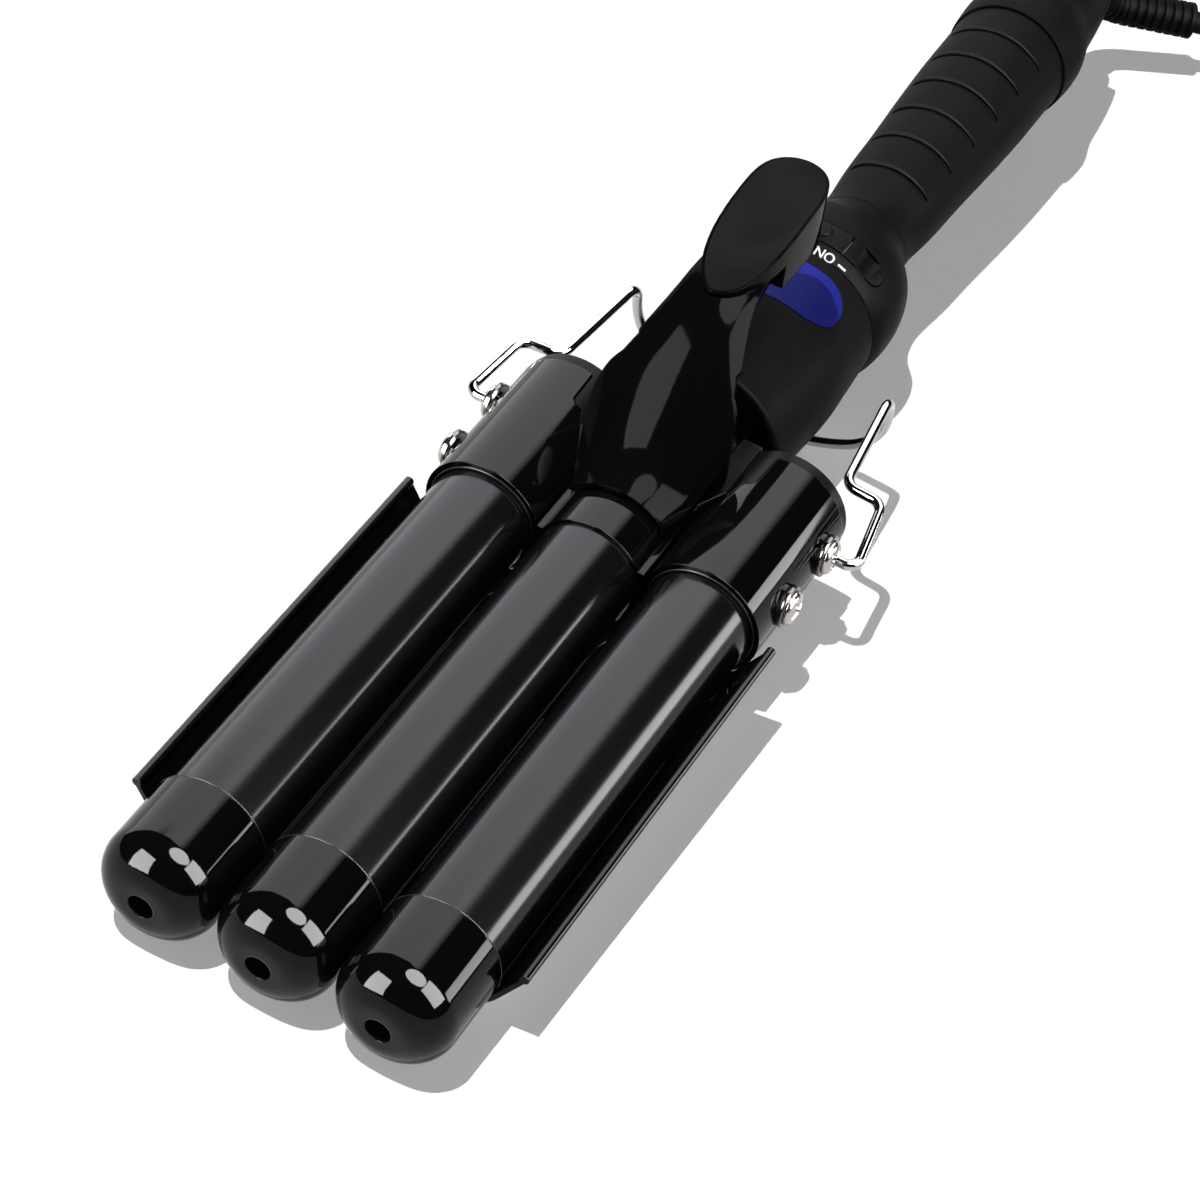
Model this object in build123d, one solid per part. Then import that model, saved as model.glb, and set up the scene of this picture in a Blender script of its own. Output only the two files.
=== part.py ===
from build123d import *

import os
from math import asin, atan2, cos, degrees, hypot, pi, radians, sin, sqrt, tan

# Three-barrel hair waver: a fixed jaw (middle barrel, guard plate, handle) and a moving jaw
# (two outer barrels on a yoke, worked by the thumb lever), a wire stand and three push buttons.
#
# Tool frame, millimetres: +Y runs along the barrels towards the tail, +Z is up, the middle
# barrel's axis is the Y axis, and y = 0 is the mouth of the outer sleeves.
# world() tips the tool onto its stand and guard plate, as it rests on a table.

# ---------------------------------------------------------------- driving dimensions

# Barrels
BARREL_RADIUS = 12.5
BARREL_WALL = 1.2
BARREL_PITCH = 27.5
BARREL_TIP_Y = -134.0
CAP_SEAM_Y = -109.0
CAP_RADIUS = 13.4
CAP_NOSE_ROUND = 8.5
CAP_SEAM_ROUND = 0.4
CAP_HOLE_RADIUS = 3.0
CAP_HOLE_DEPTH = 9.0
CAP_PLUG_LENGTH = 6.0
BARREL_END_Y = 7.0

# Heaters, inside the barrels
FIT = 0.1
SPREADER_FRONT_Y = -101.0
SPREADER_REAR_Y = -9.0
CERAMIC_WIDTH = 15.0
CERAMIC_THICKNESS = 2.6
FUSE_RADIUS = 1.9
SENSOR_RADIUS = 1.3
SAFETY_PART_LENGTH = 12.0

# Sleeves and the cores inside them
SLEEVE_RADIUS = 14.5
SLEEVE_WALL = 1.3
SLEEVE_REAR_Y = 41.0
SLEEVE_INNER_FLAT_X = 14.0
SLEEVE_FLAT_TOP_Z = 4.5
CORE_SPIGOT_Y = -6.0
CORE_SHOULDER_Y = 7.3
CORE_BORE_RADIUS = 6.5
END_RING_RADIUS = 14.0
END_RING_REAR_Y = 44.0
SPLIT_GROOVE = 0.5

# Fixed jaw: middle sleeve and neck
NECK_RADIUS = 13.3
NECK_SIDE_X = 13.4
NECK_WALL = 1.8
NECK_MOUTH_Y = -1.0
NECK_REAR_Y = 66.0
NECK_FLAT_TOP_Z = 6.0
NECK_BOTTOM_Z = -13.6
MIDDLE_CORE_REAR_Y = 16.0

# Hinge of the moving jaw
HINGE_Y = 38.0
HINGE_Z = 0.0
PIN_RADIUS = 3.6
PIN_BORE_RADIUS = 2.6
PIN_HALF_LENGTH = 20.0
RUNNING_FIT = 0.05
SPRING_WIRE_RADIUS = 0.7
SPRING_COIL_RADIUS = 5.0
SPRING_TURNS = 5
SPRING_PITCH = 1.65
SPRING_LEG_HEIGHT = 31.3
SPRING_JOINT = 0.05
LEAD_RADIUS = 0.9

# Yoke of the moving jaw
CHEEK_INNER_X = 13.75
YOKE_ARCH_RADIUS = 13.75
YOKE_ARCH_THICKNESS = 1.5
YOKE_FRONT_Y = 16.4
BRIDGE_REAR_Y = 31.0
YOKE_TOP_Z = 12.0
YOKE_BOTTOM_Z = -5.0
YOKE_SKIN_RADIUS = 14.2

# Thumb lever and pad
LEVER_WALL = 2.2
HEAD_FRONT_Y = 46.0
HEAD_REAR_Y = 91.0
HEAD_HALF_WIDTH = 9.2
HEAD_WALL = 1.8
HEAD_SKIRT_FRONT_Y = 64.0
HEAD_SKIRT_Z = 39.8
PAD_MARGIN = 0.55
PAD_THICKNESS = 1.6
PAD_DISH = 0.8

# Guard plate
GUARD_THICKNESS = 1.2
GUARD_INNER_RADIUS = 14.0
GUARD_FRONT_Y = -108.65
GUARD_REAR_Y = -1.2
GUARD_FLARE_ANGLE = -32.0
GUARD_LIP_X = 45.5
GUARD_HEM_RADIUS = 1.1
GUARD_CREST_DEPTH = 8.83391
GUARD_TROUGH_HALF_WIDTH = 8.25
GUARD_SCREW_YS = (-84.0, -24.0)
GUARD_SCREW_RADIUS = 1.5
GUARD_SCREW_HEAD_RADIUS = 2.8
GUARD_SCREW_HEAD_HEIGHT = 0.7
SPACER_RADIUS = 3.2

# Side screws
SIDE_SCREW_YS = (12.7, 31.6)
SIDE_SCREW_Z = 1.8
SIDE_SCREW_HEAD_RADIUS = 4.0
SIDE_SCREW_HEAD_HEIGHT = 2.6
SIDE_SCREW_SHANK_RADIUS = 1.6
SIDE_SCREW_TIP_X = 36.0
SCREW_SEAT_X = 43.6
WASHER_RADIUS = 4.5
WASHER_THICKNESS = 0.5
BOSS_RADIUS = 4.9
CROSS_WIDTH = 1.1
CROSS_LENGTH = 4.4
CROSS_DEPTH = 1.3
CROSS_ANGLES = (25, 115)
BUSH_SHANK_RADIUS = 2.3
SIDE_SHANK_RADII = (SIDE_SCREW_SHANK_RADIUS, BUSH_SHANK_RADIUS)

# Wire stand
STAND_WIRE_RADIUS = 1.25
STAND_WIRE_END_X = 38.2
STAND_ELBOW_X = 50.0
BOW_HALF_WIDTH = 33.4
BOW_TOP_Y = 82.2
BOW_TOP_Z = 6.4
BOW_LEAN = 9.0
BOW_STRAIGHT = 6.5
BOW_SIDE_RADIUS = 20.0
BOW_CROWN_RADIUS = 45.0

# Handle, a body of revolution: outer profile as (y, radius)
HANDLE_WALL = 1.8
DRUM_PROFILE = ((52.6, 19.5), (64.5, 20.3), (73.0, 20.85), (80.7, 21.1), (88.0, 20.7), (96.5, 20.2), (101.7, 19.8))
COLLAR_PROFILE = (
    (102.0, 19.75), (104.0, 20.6), (108.0, 21.25), (114.0, 21.25), (119.4, 20.3),
    (123.5, 18.7), (126.0, 17.0), (129.4, 14.65), (131.5, 13.75), (134.0, 13.15),
)
GRIP_PROFILE = (
    (134.3, 13.1), (141.0, 12.5), (148.0, 13.1), (157.0, 13.7), (166.0, 14.0),
    (179.0, 14.7), (191.0, 15.3), (203.0, 15.7), (212.0, 15.8), (222.6, 15.9),
)
TAIL_PROFILE = (
    (223.0, 16.5), (228.0, 16.9), (236.0, 16.5), (242.0, 14.95), (250.0, 13.9), (258.5, 12.9), (271.0, 10.5),
)
JOINT_SPIGOT_LENGTH = 4.0
SPIGOT_WALL = 1.2
BULKHEAD_Y = 60.0
BULKHEAD_THICKNESS = 3.0
GROOVE_YS = (149.0, 162.0, 174.5, 187.0, 199.0, 211.5)
GROOVE_WIDTH = 1.5
GROOVE_DEPTH = 0.55
GROOVE_HALF_ANGLE = 52.0
DRUM_SCREW_RADIUS = 1.3
DRUM_SCREW_HEAD_RADIUS = 2.4

# Display
WINDOW_CENTRE_Y = 89.1
WINDOW_HALF_WIDTH = 14.2
WINDOW_HALF_LENGTH = 8.0
WINDOW_CORNER = 7.2
WINDOW_BULGE = 0.35
WINDOW_THICKNESS = 1.5
WINDOW_PROUD = 0.15
BOARD_Z = 7.4
BOARD_THICKNESS = 1.4
BOARD_FRONT_Y = 66.0
BOARD_REAR_Y = 97.3
BOARD_HALF_WIDTH = 16.0
DISPLAY_SIZE = (21.0, 12.5, 5.6)

# Push buttons in the collar
BUTTON_CENTRE_Y = 108.8
BUTTON_LENGTH_Y = 7.0
BUTTON_SPAN = 51.5
BUTTON_SEAM = 18.7
BUTTON_GAP = 0.3
BUTTON_TRAVEL = 0.4
BUTTON_SEAM_GAP = 0.4
BUTTON_INNER_RADIUS = 18.2
BUTTON_STEM_RADIUS = 1.8
BUTTON_PROUD = 0.15
BUTTON_FLANGE = 0.9
BUTTON_DOME_RADIUS = 2.2
BUTTON_TROUGH_RADIUS = 7.0
BUTTON_TROUGH_DEPTH = 0.75
CARRIER_OUTER_RADIUS = 14.0
CARRIER_THICKNESS = 1.6
SWITCH_SIZE = (6.0, 6.0, 2.0)
SWITCH_STEM_RADIUS = 1.6
SWITCH_STEM_HEIGHT = 0.4

# Tail swivel, strain relief, cord and plug
SWIVEL_CENTRE_Y = 271.5
SWIVEL_RADIUS = 7.8
RELIEF_RADIUS = 5.0
RELIEF_CORE_RADIUS = 4.0
RELIEF_RIB_PITCH = 2.6
RELIEF_RIB_WIDTH = 1.4
CORD_RADIUS = 3.0
COIL_RADIUS = 33.0
COIL_WIDTH = 18.0
COIL_HEIGHT = 18.0
PLUG_SIZE = (25.0, 34.0, 19.0)
PLUG_NECK_LENGTH = 10.0
PLUG_NECK_RADIUS = 5.5
PLUG_SIDE_ROUND = 5.0
PLUG_REAR_ROUND = 3.0
BLADE_HOLE_RADIUS = 1.6
BLADE_HOLE_FROM_TIP = 4.5
BLADE_SIZE = (1.5, 17.0, 6.3)
BLADE_SPACING = 12.7

# ---------------------------------------------------------------- derived places

SIDES = (-1, 1)
CORE_RADIUS = SLEEVE_RADIUS - SLEEVE_WALL - FIT
BARREL_BORE = BARREL_RADIUS - BARREL_WALL
GUARD_OUTER_RADIUS = GUARD_INNER_RADIUS + GUARD_THICKNESS
GUARD_FLOOR_Z = -GUARD_OUTER_RADIUS
BUTTON_SIDE_ANGLE = (BUTTON_SPAN + BUTTON_SEAM) / 2
COLLAR_TOP_RADIUS = max(radius for y, radius in COLLAR_PROFILE)
BUTTON_ANGLES = {"button_plus": -BUTTON_SIDE_ANGLE, "button_power": 0.0, "button_minus": BUTTON_SIDE_ANGLE}

# The table touches the bow's crown and the front edge of the guard plate.
BOW_SIDE_CENTRE_X = BOW_HALF_WIDTH - BOW_SIDE_RADIUS
BOW_CROWN_CENTRE_DEPTH = BOW_STRAIGHT - sqrt((BOW_CROWN_RADIUS - BOW_SIDE_RADIUS) ** 2 - BOW_SIDE_CENTRE_X**2)
BOW_DEPTH = BOW_CROWN_CENTRE_DEPTH + BOW_CROWN_RADIUS
BOW_CROWN_Y = BOW_TOP_Y + BOW_DEPTH * sin(radians(BOW_LEAN))
BOW_CROWN_Z = BOW_TOP_Z - BOW_DEPTH * cos(radians(BOW_LEAN))
REST_REACH = BOW_CROWN_Y - GUARD_FRONT_Y
REST_DROP = GUARD_FLOOR_Z - BOW_CROWN_Z
REST_TILT = degrees(atan2(REST_DROP, REST_REACH) + asin(STAND_WIRE_RADIUS / hypot(REST_DROP, REST_REACH)))
FLOOR_LIFT = -(GUARD_FRONT_Y * sin(radians(REST_TILT)) + GUARD_FLOOR_Z * cos(radians(REST_TILT)))

# ---------------------------------------------------------------- small helpers


def along_y(radius, y0, y1, x=0.0, z=0.0):
    """A cylinder parallel to Y."""
    return Pos(x, (y0 + y1) / 2, z) * Rot(90, 0, 0) * Cylinder(radius, y1 - y0)


def along_x(radius, x0, x1, y=0.0, z=0.0):
    """A cylinder parallel to X."""
    return Pos((x0 + x1) / 2, y, z) * Rot(0, 90, 0) * Cylinder(radius, abs(x1 - x0))


def block(x0, x1, y0, y1, z0, z1):
    """A box between two corners."""
    return Pos((x0 + x1) / 2, (y0 + y1) / 2, (z0 + z1) / 2) * Box(x1 - x0, y1 - y0, z1 - z0)


def ring_y(outer, inner, y0, y1, x=0.0, z=0.0):
    """A tube parallel to Y."""
    return along_y(outer, y0, y1, x, z) - along_y(inner, y0 - 1, y1 + 1, x, z)


def ring_x(outer, inner, x0, x1, y=0.0, z=0.0):
    """A tube parallel to X."""
    return along_x(outer, x0, x1, y, z) - along_x(inner, min(x0, x1) - 1, max(x0, x1) + 1, y, z)


def turned(profile, inset=0.0, front_inset=0.0, rear_inset=0.0):
    """A solid of revolution about Y under a smooth profile of (y, radius)."""
    points = [(radius - inset, y) for y, radius in profile]
    first = (points[0][0], points[0][1] + front_inset)
    last = (points[-1][0], points[-1][1] - rear_inset)
    curve = Spline([first] + points[1:-1] + [last])
    edges = [curve, Line(last, (0, last[1])), Line((0, last[1]), (0, first[1])), Line((0, first[1]), first)]
    return revolve(make_face(edges), Axis.Y)


def profile_radius(profile, y):
    """The outer radius of a profile at y, by straight interpolation."""
    for (y0, r0), (y1, r1) in zip(profile, profile[1:]):
        if y0 <= y <= y1:
            return r0 + (r1 - r0) * (y - y0) / (y1 - y0)
    return profile[-1][1]


def prism_x(points, half_width):
    """A side outline of (y, z) points, extruded both ways along X."""
    outline = Plane.YZ * make_face(Polyline(points, close=True))
    return extrude(outline, amount=half_width, both=True)


def prism_z(points, z0, z1):
    """A plan outline of (x, y) points, extruded from z0 to z1."""
    return Pos(0, 0, z0) * extrude(make_face(Polyline(points, close=True)), amount=z1 - z0)


def wire_rod(points, radii, radius):
    """A round rod along straight runs joined by tangent arcs."""
    path = FilletPolyline(points, radius=radii)
    start = Plane(origin=path @ 0, z_dir=path % 0)
    return sweep(start * Circle(radius), path=path)


def lead_wire(points, bend=2.5):
    """A thin insulated lead."""
    return wire_rod(points, bend, LEAD_RADIUS)


def mirrored(solid):
    """The same piece on the other side of the middle plane."""
    return mirror(solid, about=Plane.YZ)


def on_side(side, solid):
    """A piece modelled on the +X side, placed on the given side."""
    return solid if side > 0 else mirrored(solid)


# ---------------------------------------------------------------- barrels and heaters


def barrel(x):
    return ring_y(BARREL_RADIUS, BARREL_BORE, CAP_SEAM_Y, BARREL_END_Y, x)


def middle_barrel():
    """The middle barrel has threaded holes for the guard's screws."""
    tube = barrel(0)
    for y in GUARD_SCREW_YS:
        tube -= Pos(0, y, -BARREL_RADIUS) * Cylinder(GUARD_SCREW_RADIUS, 4 * BARREL_WALL)
    return tube


def cap(x):
    """Domed end cap with a blind hole and a plug that fits the barrel's bore."""
    dome = along_y(CAP_RADIUS, BARREL_TIP_Y, CAP_SEAM_Y, x)
    dome = fillet(dome.faces().sort_by(Axis.Y)[0].edges(), CAP_NOSE_ROUND)
    dome = fillet(dome.faces().sort_by(Axis.Y)[-1].edges(), CAP_SEAM_ROUND)
    plug = along_y(BARREL_BORE - FIT, CAP_SEAM_Y, CAP_SEAM_Y + CAP_PLUG_LENGTH, x)
    hole = along_y(CAP_HOLE_RADIUS, BARREL_TIP_Y - 1, BARREL_TIP_Y + CAP_HOLE_DEPTH, x)
    return dome + plug - hole


def heat_spreader(x):
    """Two D-shaped aluminium bars that press the ceramic strip between them."""
    rod = along_y(BARREL_BORE - FIT, SPREADER_FRONT_Y, SPREADER_REAR_Y, x)
    slot = block(x - 20, x + 20, SPREADER_FRONT_Y - 1, SPREADER_REAR_Y + 1, -CERAMIC_THICKNESS / 2, CERAMIC_THICKNESS / 2)
    return rod - slot


def ceramic_heater(x):
    half = CERAMIC_WIDTH / 2
    return block(x - half, x + half, SPREADER_FRONT_Y + 2, SPREADER_REAR_Y - 2, -CERAMIC_THICKNESS / 2, CERAMIC_THICKNESS / 2)


# ---------------------------------------------------------------- fixed jaw


def neck_outline(radius, side_x, bottom_z):
    """Section of the middle sleeve: round on top, flat on the sides, in the XZ plane."""
    upper = Circle(radius)
    lower = Pos(0, (NECK_FLAT_TOP_Z + bottom_z) / 2) * Rectangle(2 * side_x, NECK_FLAT_TOP_Z - bottom_z)
    return upper + lower


def neck_prism(radius, side_x, bottom_z, y0, y1):
    section = Plane(origin=(0, y0, 0), x_dir=(1, 0, 0), z_dir=(0, -1, 0)) * neck_outline(radius, side_x, bottom_z)
    return extrude(section, amount=-(y1 - y0))


def middle_sleeve():
    """Glossy sleeve around the middle barrel, which runs back as the neck."""
    front = neck_prism(NECK_RADIUS, NECK_SIDE_X, NECK_BOTTOM_Z, NECK_MOUTH_Y, END_RING_REAR_Y)
    rear = along_y(NECK_RADIUS, END_RING_REAR_Y, NECK_REAR_Y)
    hollow = along_y(NECK_RADIUS - NECK_WALL + 1.15, NECK_MOUTH_Y - 1, BARREL_END_Y + 0.3)
    hollow += along_y(NECK_RADIUS - NECK_WALL, BARREL_END_Y, NECK_REAR_Y + 1)
    pin_hole = along_x(PIN_RADIUS + RUNNING_FIT, -20, 20, HINGE_Y, HINGE_Z)
    leg_x = -SPRING_PITCH * SPRING_TURNS / 2
    leg_slot = block(leg_x - 1.1, leg_x + 1.1, BRIDGE_REAR_Y, HINGE_Y, NECK_RADIUS - NECK_WALL - 3, NECK_RADIUS + 1)
    return front + rear - hollow - pin_hole - leg_slot - drum_screw_hole(DRUM_SCREW_RADIUS)


def middle_core():
    """Heat-proof core in the middle sleeve, with the spigot that the middle barrel fits on."""
    spigot = along_y(BARREL_BORE - FIT, CORE_SPIGOT_Y, CORE_SHOULDER_Y)
    shoulder = along_y(NECK_RADIUS - NECK_WALL - FIT, CORE_SHOULDER_Y, MIDDLE_CORE_REAR_Y)
    bore = along_y(CORE_BORE_RADIUS, CORE_SPIGOT_Y - 1, MIDDLE_CORE_REAR_Y + 1)
    return spigot + shoulder - bore


def temperature_sensor():
    z = CORE_BORE_RADIUS - SENSOR_RADIUS - FIT
    return along_y(SENSOR_RADIUS, SPREADER_REAR_Y, SPREADER_REAR_Y + SAFETY_PART_LENGTH, 0, z)


def thermal_fuse():
    z = -(CORE_BORE_RADIUS - FUSE_RADIUS - FIT)
    return along_y(FUSE_RADIUS, SPREADER_REAR_Y, SPREADER_REAR_Y + SAFETY_PART_LENGTH, 0, z)


def middle_leads():
    """Two leads from the middle heater, past the hinge pin, to the control board."""
    leads = []
    for side in SIDES:
        x = side * 1.6
        points = [
            (x, SPREADER_REAR_Y, 0.3), (x, MIDDLE_CORE_REAR_Y - 8, 0.3), (x, MIDDLE_CORE_REAR_Y + 6, -8.6),
            (x, HINGE_Y + 14, -8.6), (x, BOARD_FRONT_Y - 6, -4.0), (x, BOARD_FRONT_Y + 2.6, BOARD_Z - LEAD_RADIUS - 0.1),
        ]
        leads.append(lead_wire(points))
    return leads[0] + leads[1]


def guard_section():
    """Section of the guard plate in the XZ plane: three troughs and two flared, hemmed lips."""
    troughs = None
    for step in (-1, 0, 1):
        ring = Pos(step * BARREL_PITCH, 0) * (Circle(GUARD_OUTER_RADIUS) - Circle(GUARD_INNER_RADIUS))
        troughs = ring if troughs is None else troughs + ring
    angle = radians(GUARD_FLARE_ANGLE)
    ridge_x = BARREL_PITCH / 2
    ridge_half_width = ridge_x - GUARD_TROUGH_HALF_WIDTH
    bridge_z = -sqrt(GUARD_INNER_RADIUS**2 - GUARD_TROUGH_HALF_WIDTH**2)
    # Keep what lies below the flare's start; a flat bridge joins two troughs.
    half = 100.0
    section = troughs & Pos(0, GUARD_INNER_RADIUS * sin(angle) - half) * Rectangle(2 * half, 2 * half)
    for side in SIDES:
        section -= Pos(side * ridge_x, half - GUARD_CREST_DEPTH) * Rectangle(2 * ridge_half_width, 2 * half)
    for side in SIDES:
        bridge = Rectangle(2 * ridge_half_width + GUARD_THICKNESS, GUARD_THICKNESS)
        section += Pos(side * ridge_x, bridge_z - GUARD_THICKNESS / 2) * bridge
    # Straight flare, tangent to the outer trough, up to the rolled hem.
    start_in = (GUARD_INNER_RADIUS * cos(angle), GUARD_INNER_RADIUS * sin(angle))
    start_out = (GUARD_OUTER_RADIUS * cos(angle), GUARD_OUTER_RADIUS * sin(angle))
    along = (-sin(angle), cos(angle))
    reach_in = (GUARD_LIP_X - BARREL_PITCH - GUARD_THICKNESS / 2 - start_in[0]) / along[0]
    lip_z = start_in[1] + reach_in * along[1]
    reach_out = (lip_z - start_out[1]) / along[1]
    corners = [
        start_in, (start_in[0] + reach_in * along[0], lip_z),
        (start_out[0] + reach_out * along[0], lip_z), start_out,
    ]
    for side in SIDES:
        section += make_face(Polyline([(side * (BARREL_PITCH + x), z) for x, z in corners], close=True))
        section += Pos(side * (GUARD_LIP_X + 0.1), lip_z + 0.2) * Circle(GUARD_HEM_RADIUS)
    return section


def guard_plate():
    section = Plane(origin=(0, GUARD_REAR_Y, 0), x_dir=(1, 0, 0), z_dir=(0, -1, 0)) * guard_section()
    plate = extrude(section, amount=GUARD_REAR_Y - GUARD_FRONT_Y)
    for y in GUARD_SCREW_YS:
        plate -= Pos(0, y, GUARD_FLOOR_Z) * Cylinder(GUARD_SCREW_RADIUS + FIT, 6)
    return plate


def guard_spacers():
    """Spacers between the guard plate and the middle barrel, shaped to both."""
    spacers = None
    for y in GUARD_SCREW_YS:
        post = Pos(0, y, -13.5) * Cylinder(SPACER_RADIUS, 4)
        post &= along_y(GUARD_INNER_RADIUS - 0.05, y - 10, y + 10)
        post -= along_y(BARREL_RADIUS + 0.05, y - 11, y + 11)
        post -= Pos(0, y, -13.5) * Cylinder(GUARD_SCREW_RADIUS + FIT, 8)
        spacers = post if spacers is None else spacers + post
    return spacers


def guard_screws():
    screws = None
    for y in GUARD_SCREW_YS:
        head_top = GUARD_FLOOR_Z
        head = Pos(0, y, head_top - GUARD_SCREW_HEAD_HEIGHT / 2) * Cylinder(GUARD_SCREW_HEAD_RADIUS, GUARD_SCREW_HEAD_HEIGHT)
        top_z = -BARREL_BORE - 0.2
        shank = Pos(0, y, (top_z + head_top) / 2) * Cylinder(GUARD_SCREW_RADIUS - 0.02, top_z - head_top)
        slot = Pos(0, y, head_top - GUARD_SCREW_HEAD_HEIGHT) * Box(0.7, 4.0, 0.7)
        screw = head + shank - slot
        screws = screw if screws is None else screws + screw
    return screws


# ---------------------------------------------------------------- moving jaw


def rear_cut():
    """The stepped cut behind the hood, on the inner rear of a +X sleeve, as a plan outline."""
    return [
        (SLEEVE_INNER_FLAT_X - 2, 16.0), (SLEEVE_INNER_FLAT_X, 16.0), (17.5, 23.3), (21.0, 30.4), (22.4, 30.5),
        (23.4, 31.4), (23.8, SLEEVE_REAR_Y + 1), (SLEEVE_INNER_FLAT_X - 2, SLEEVE_REAR_Y + 1),
    ]


def outer_sleeve():
    """Glossy outer sleeve of the +X side."""
    x = BARREL_PITCH
    shell = ring_y(SLEEVE_RADIUS, SLEEVE_RADIUS - SLEEVE_WALL, 0, SLEEVE_REAR_Y, x)
    for y in SIDE_SCREW_YS:
        shell += along_x(BOSS_RADIUS, x + 8, SCREW_SEAT_X - WASHER_THICKNESS, y, SIDE_SCREW_Z)
    shell -= block(0, SLEEVE_INNER_FLAT_X, -1, SLEEVE_REAR_Y + 1, -20, 20)
    ledge_x1 = x - sqrt((SLEEVE_RADIUS - SLEEVE_WALL) ** 2 - SLEEVE_FLAT_TOP_Z**2)
    shell += block(SLEEVE_INNER_FLAT_X, ledge_x1 + 0.2, 0, 16, SLEEVE_FLAT_TOP_Z - 1.2, SLEEVE_FLAT_TOP_Z)
    shell -= along_y(SLEEVE_RADIUS - SLEEVE_WALL, -1, SLEEVE_REAR_Y + 1, x)
    shell -= prism_z(rear_cut(), YOKE_BOTTOM_Z - 0.3, 20)
    for y, shank in zip(SIDE_SCREW_YS, SIDE_SHANK_RADII):
        shell -= along_x(shank + FIT, x, 50, y, SIDE_SCREW_Z)
    groove_z = SLEEVE_RADIUS * sin(radians(24))
    groove = block(x + 10, x + 20, 20, SLEEVE_REAR_Y + 1, groove_z - SPLIT_GROOVE / 2, groove_z + SPLIT_GROOVE / 2)
    return shell - (groove - along_y(SLEEVE_RADIUS - 0.5, 10, SLEEVE_REAR_Y + 5, x))


def yoke_half():
    """Core, end ring and cheek of the +X side."""
    x = BARREL_PITCH
    core = along_y(BARREL_BORE - FIT, CORE_SPIGOT_Y, CORE_SHOULDER_Y, x)
    core += along_y(CORE_RADIUS, CORE_SHOULDER_Y, END_RING_REAR_Y, x)
    core += along_y(END_RING_RADIUS, SLEEVE_REAR_Y + FIT, END_RING_REAR_Y, x)
    skin = along_y(YOKE_SKIN_RADIUS, YOKE_FRONT_Y + 0.4, SLEEVE_REAR_Y + FIT, x)
    inset = [
        (SLEEVE_INNER_FLAT_X - 2, 17.0), (SLEEVE_INNER_FLAT_X + 0.1, 17.0), (17.2, 23.6), (20.7, 30.7), (22.2, 30.8),
        (23.1, 31.6), (23.5, SLEEVE_REAR_Y + 1), (SLEEVE_INNER_FLAT_X - 2, SLEEVE_REAR_Y + 1),
    ]
    core += skin & prism_z(inset, YOKE_BOTTOM_Z, 20)
    cheek = block(CHEEK_INNER_X, 18.5, YOKE_FRONT_Y + 0.6, END_RING_REAR_Y, YOKE_BOTTOM_Z, YOKE_TOP_Z)
    cheek &= prism_z(inset, YOKE_BOTTOM_Z, 20) + block(CHEEK_INNER_X, 30, SLEEVE_REAR_Y + FIT, 60, -20, 20)
    core += cheek
    core -= block(0, CHEEK_INNER_X, -10, 60, -20, 20)
    core -= along_y(CORE_BORE_RADIUS, CORE_SPIGOT_Y - 1, HINGE_Y + 4, x)
    core -= along_x(PIN_BORE_RADIUS, PIN_HALF_LENGTH, x, HINGE_Y, HINGE_Z)
    for y, shank in zip(SIDE_SCREW_YS, SIDE_SHANK_RADII):
        core -= along_x(shank, SIDE_SCREW_TIP_X - 0.5, 50, y, SIDE_SCREW_Z)
    return core


def yoke(lever):
    """Matte yoke: a half on each side and the arched bridge over the neck."""
    outer = YOKE_ARCH_RADIUS + YOKE_ARCH_THICKNESS
    bridge = ring_y(outer, YOKE_ARCH_RADIUS, YOKE_FRONT_Y + 0.6, BRIDGE_REAR_Y)
    bridge &= block(-CHEEK_INNER_X - 3, CHEEK_INNER_X + 3, 0, 60, NECK_FLAT_TOP_Z + 0.4, 30)
    half = yoke_half()
    pin_seat = along_x(PIN_RADIUS, -PIN_HALF_LENGTH - 0.1, PIN_HALF_LENGTH + 0.1, HINGE_Y, HINGE_Z)
    return half + bridge + mirrored(half) - pin_seat - lever


def hinge_pin():
    """Hollow pin: the leads of the outer heaters pass through it."""
    return ring_x(PIN_RADIUS - 0.02, PIN_BORE_RADIUS, -PIN_HALF_LENGTH, PIN_HALF_LENGTH, HINGE_Y, HINGE_Z)


def hinge_spring():
    """Torsion spring around the pin: one leg on the neck's floor, one leg up in the lever's hood."""
    height = SPRING_PITCH * SPRING_TURNS
    coil = Helix(pitch=SPRING_PITCH, height=height, radius=SPRING_COIL_RADIUS)
    spring = sweep(Plane(origin=coil @ 0, z_dir=coil % 0) * Circle(SPRING_WIRE_RADIUS), path=coil)
    floor = sqrt((NECK_RADIUS - NECK_WALL) ** 2 - (height / 2) ** 2) - 0.25
    upper_leg = along_y(SPRING_WIRE_RADIUS, -SPRING_LEG_HEIGHT, -SPRING_JOINT, SPRING_COIL_RADIUS, 0)
    lower_leg = along_y(SPRING_WIRE_RADIUS, SPRING_JOINT, floor, SPRING_COIL_RADIUS, height)
    whole = Compound([*spring.solids(), *upper_leg.solids(), *lower_leg.solids()])
    return Pos(-height / 2, HINGE_Y, HINGE_Z) * Rot(180, 0, 0) * Rot(0, 90, 0) * Rot(0, 0, 90) * whole


def outer_leads():
    """Leads of the outer heaters, through the cores and the hollow pin."""
    leads = None
    for side in SIDES:
        x = side * BARREL_PITCH
        points = [(x, SPREADER_REAR_Y, 0), (x, HINGE_Y, 0), (side * 9.0, HINGE_Y, 0)]
        lead = wire_rod(points, [3.2], 1.4)
        leads = lead if leads is None else leads + lead
    return leads


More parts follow.
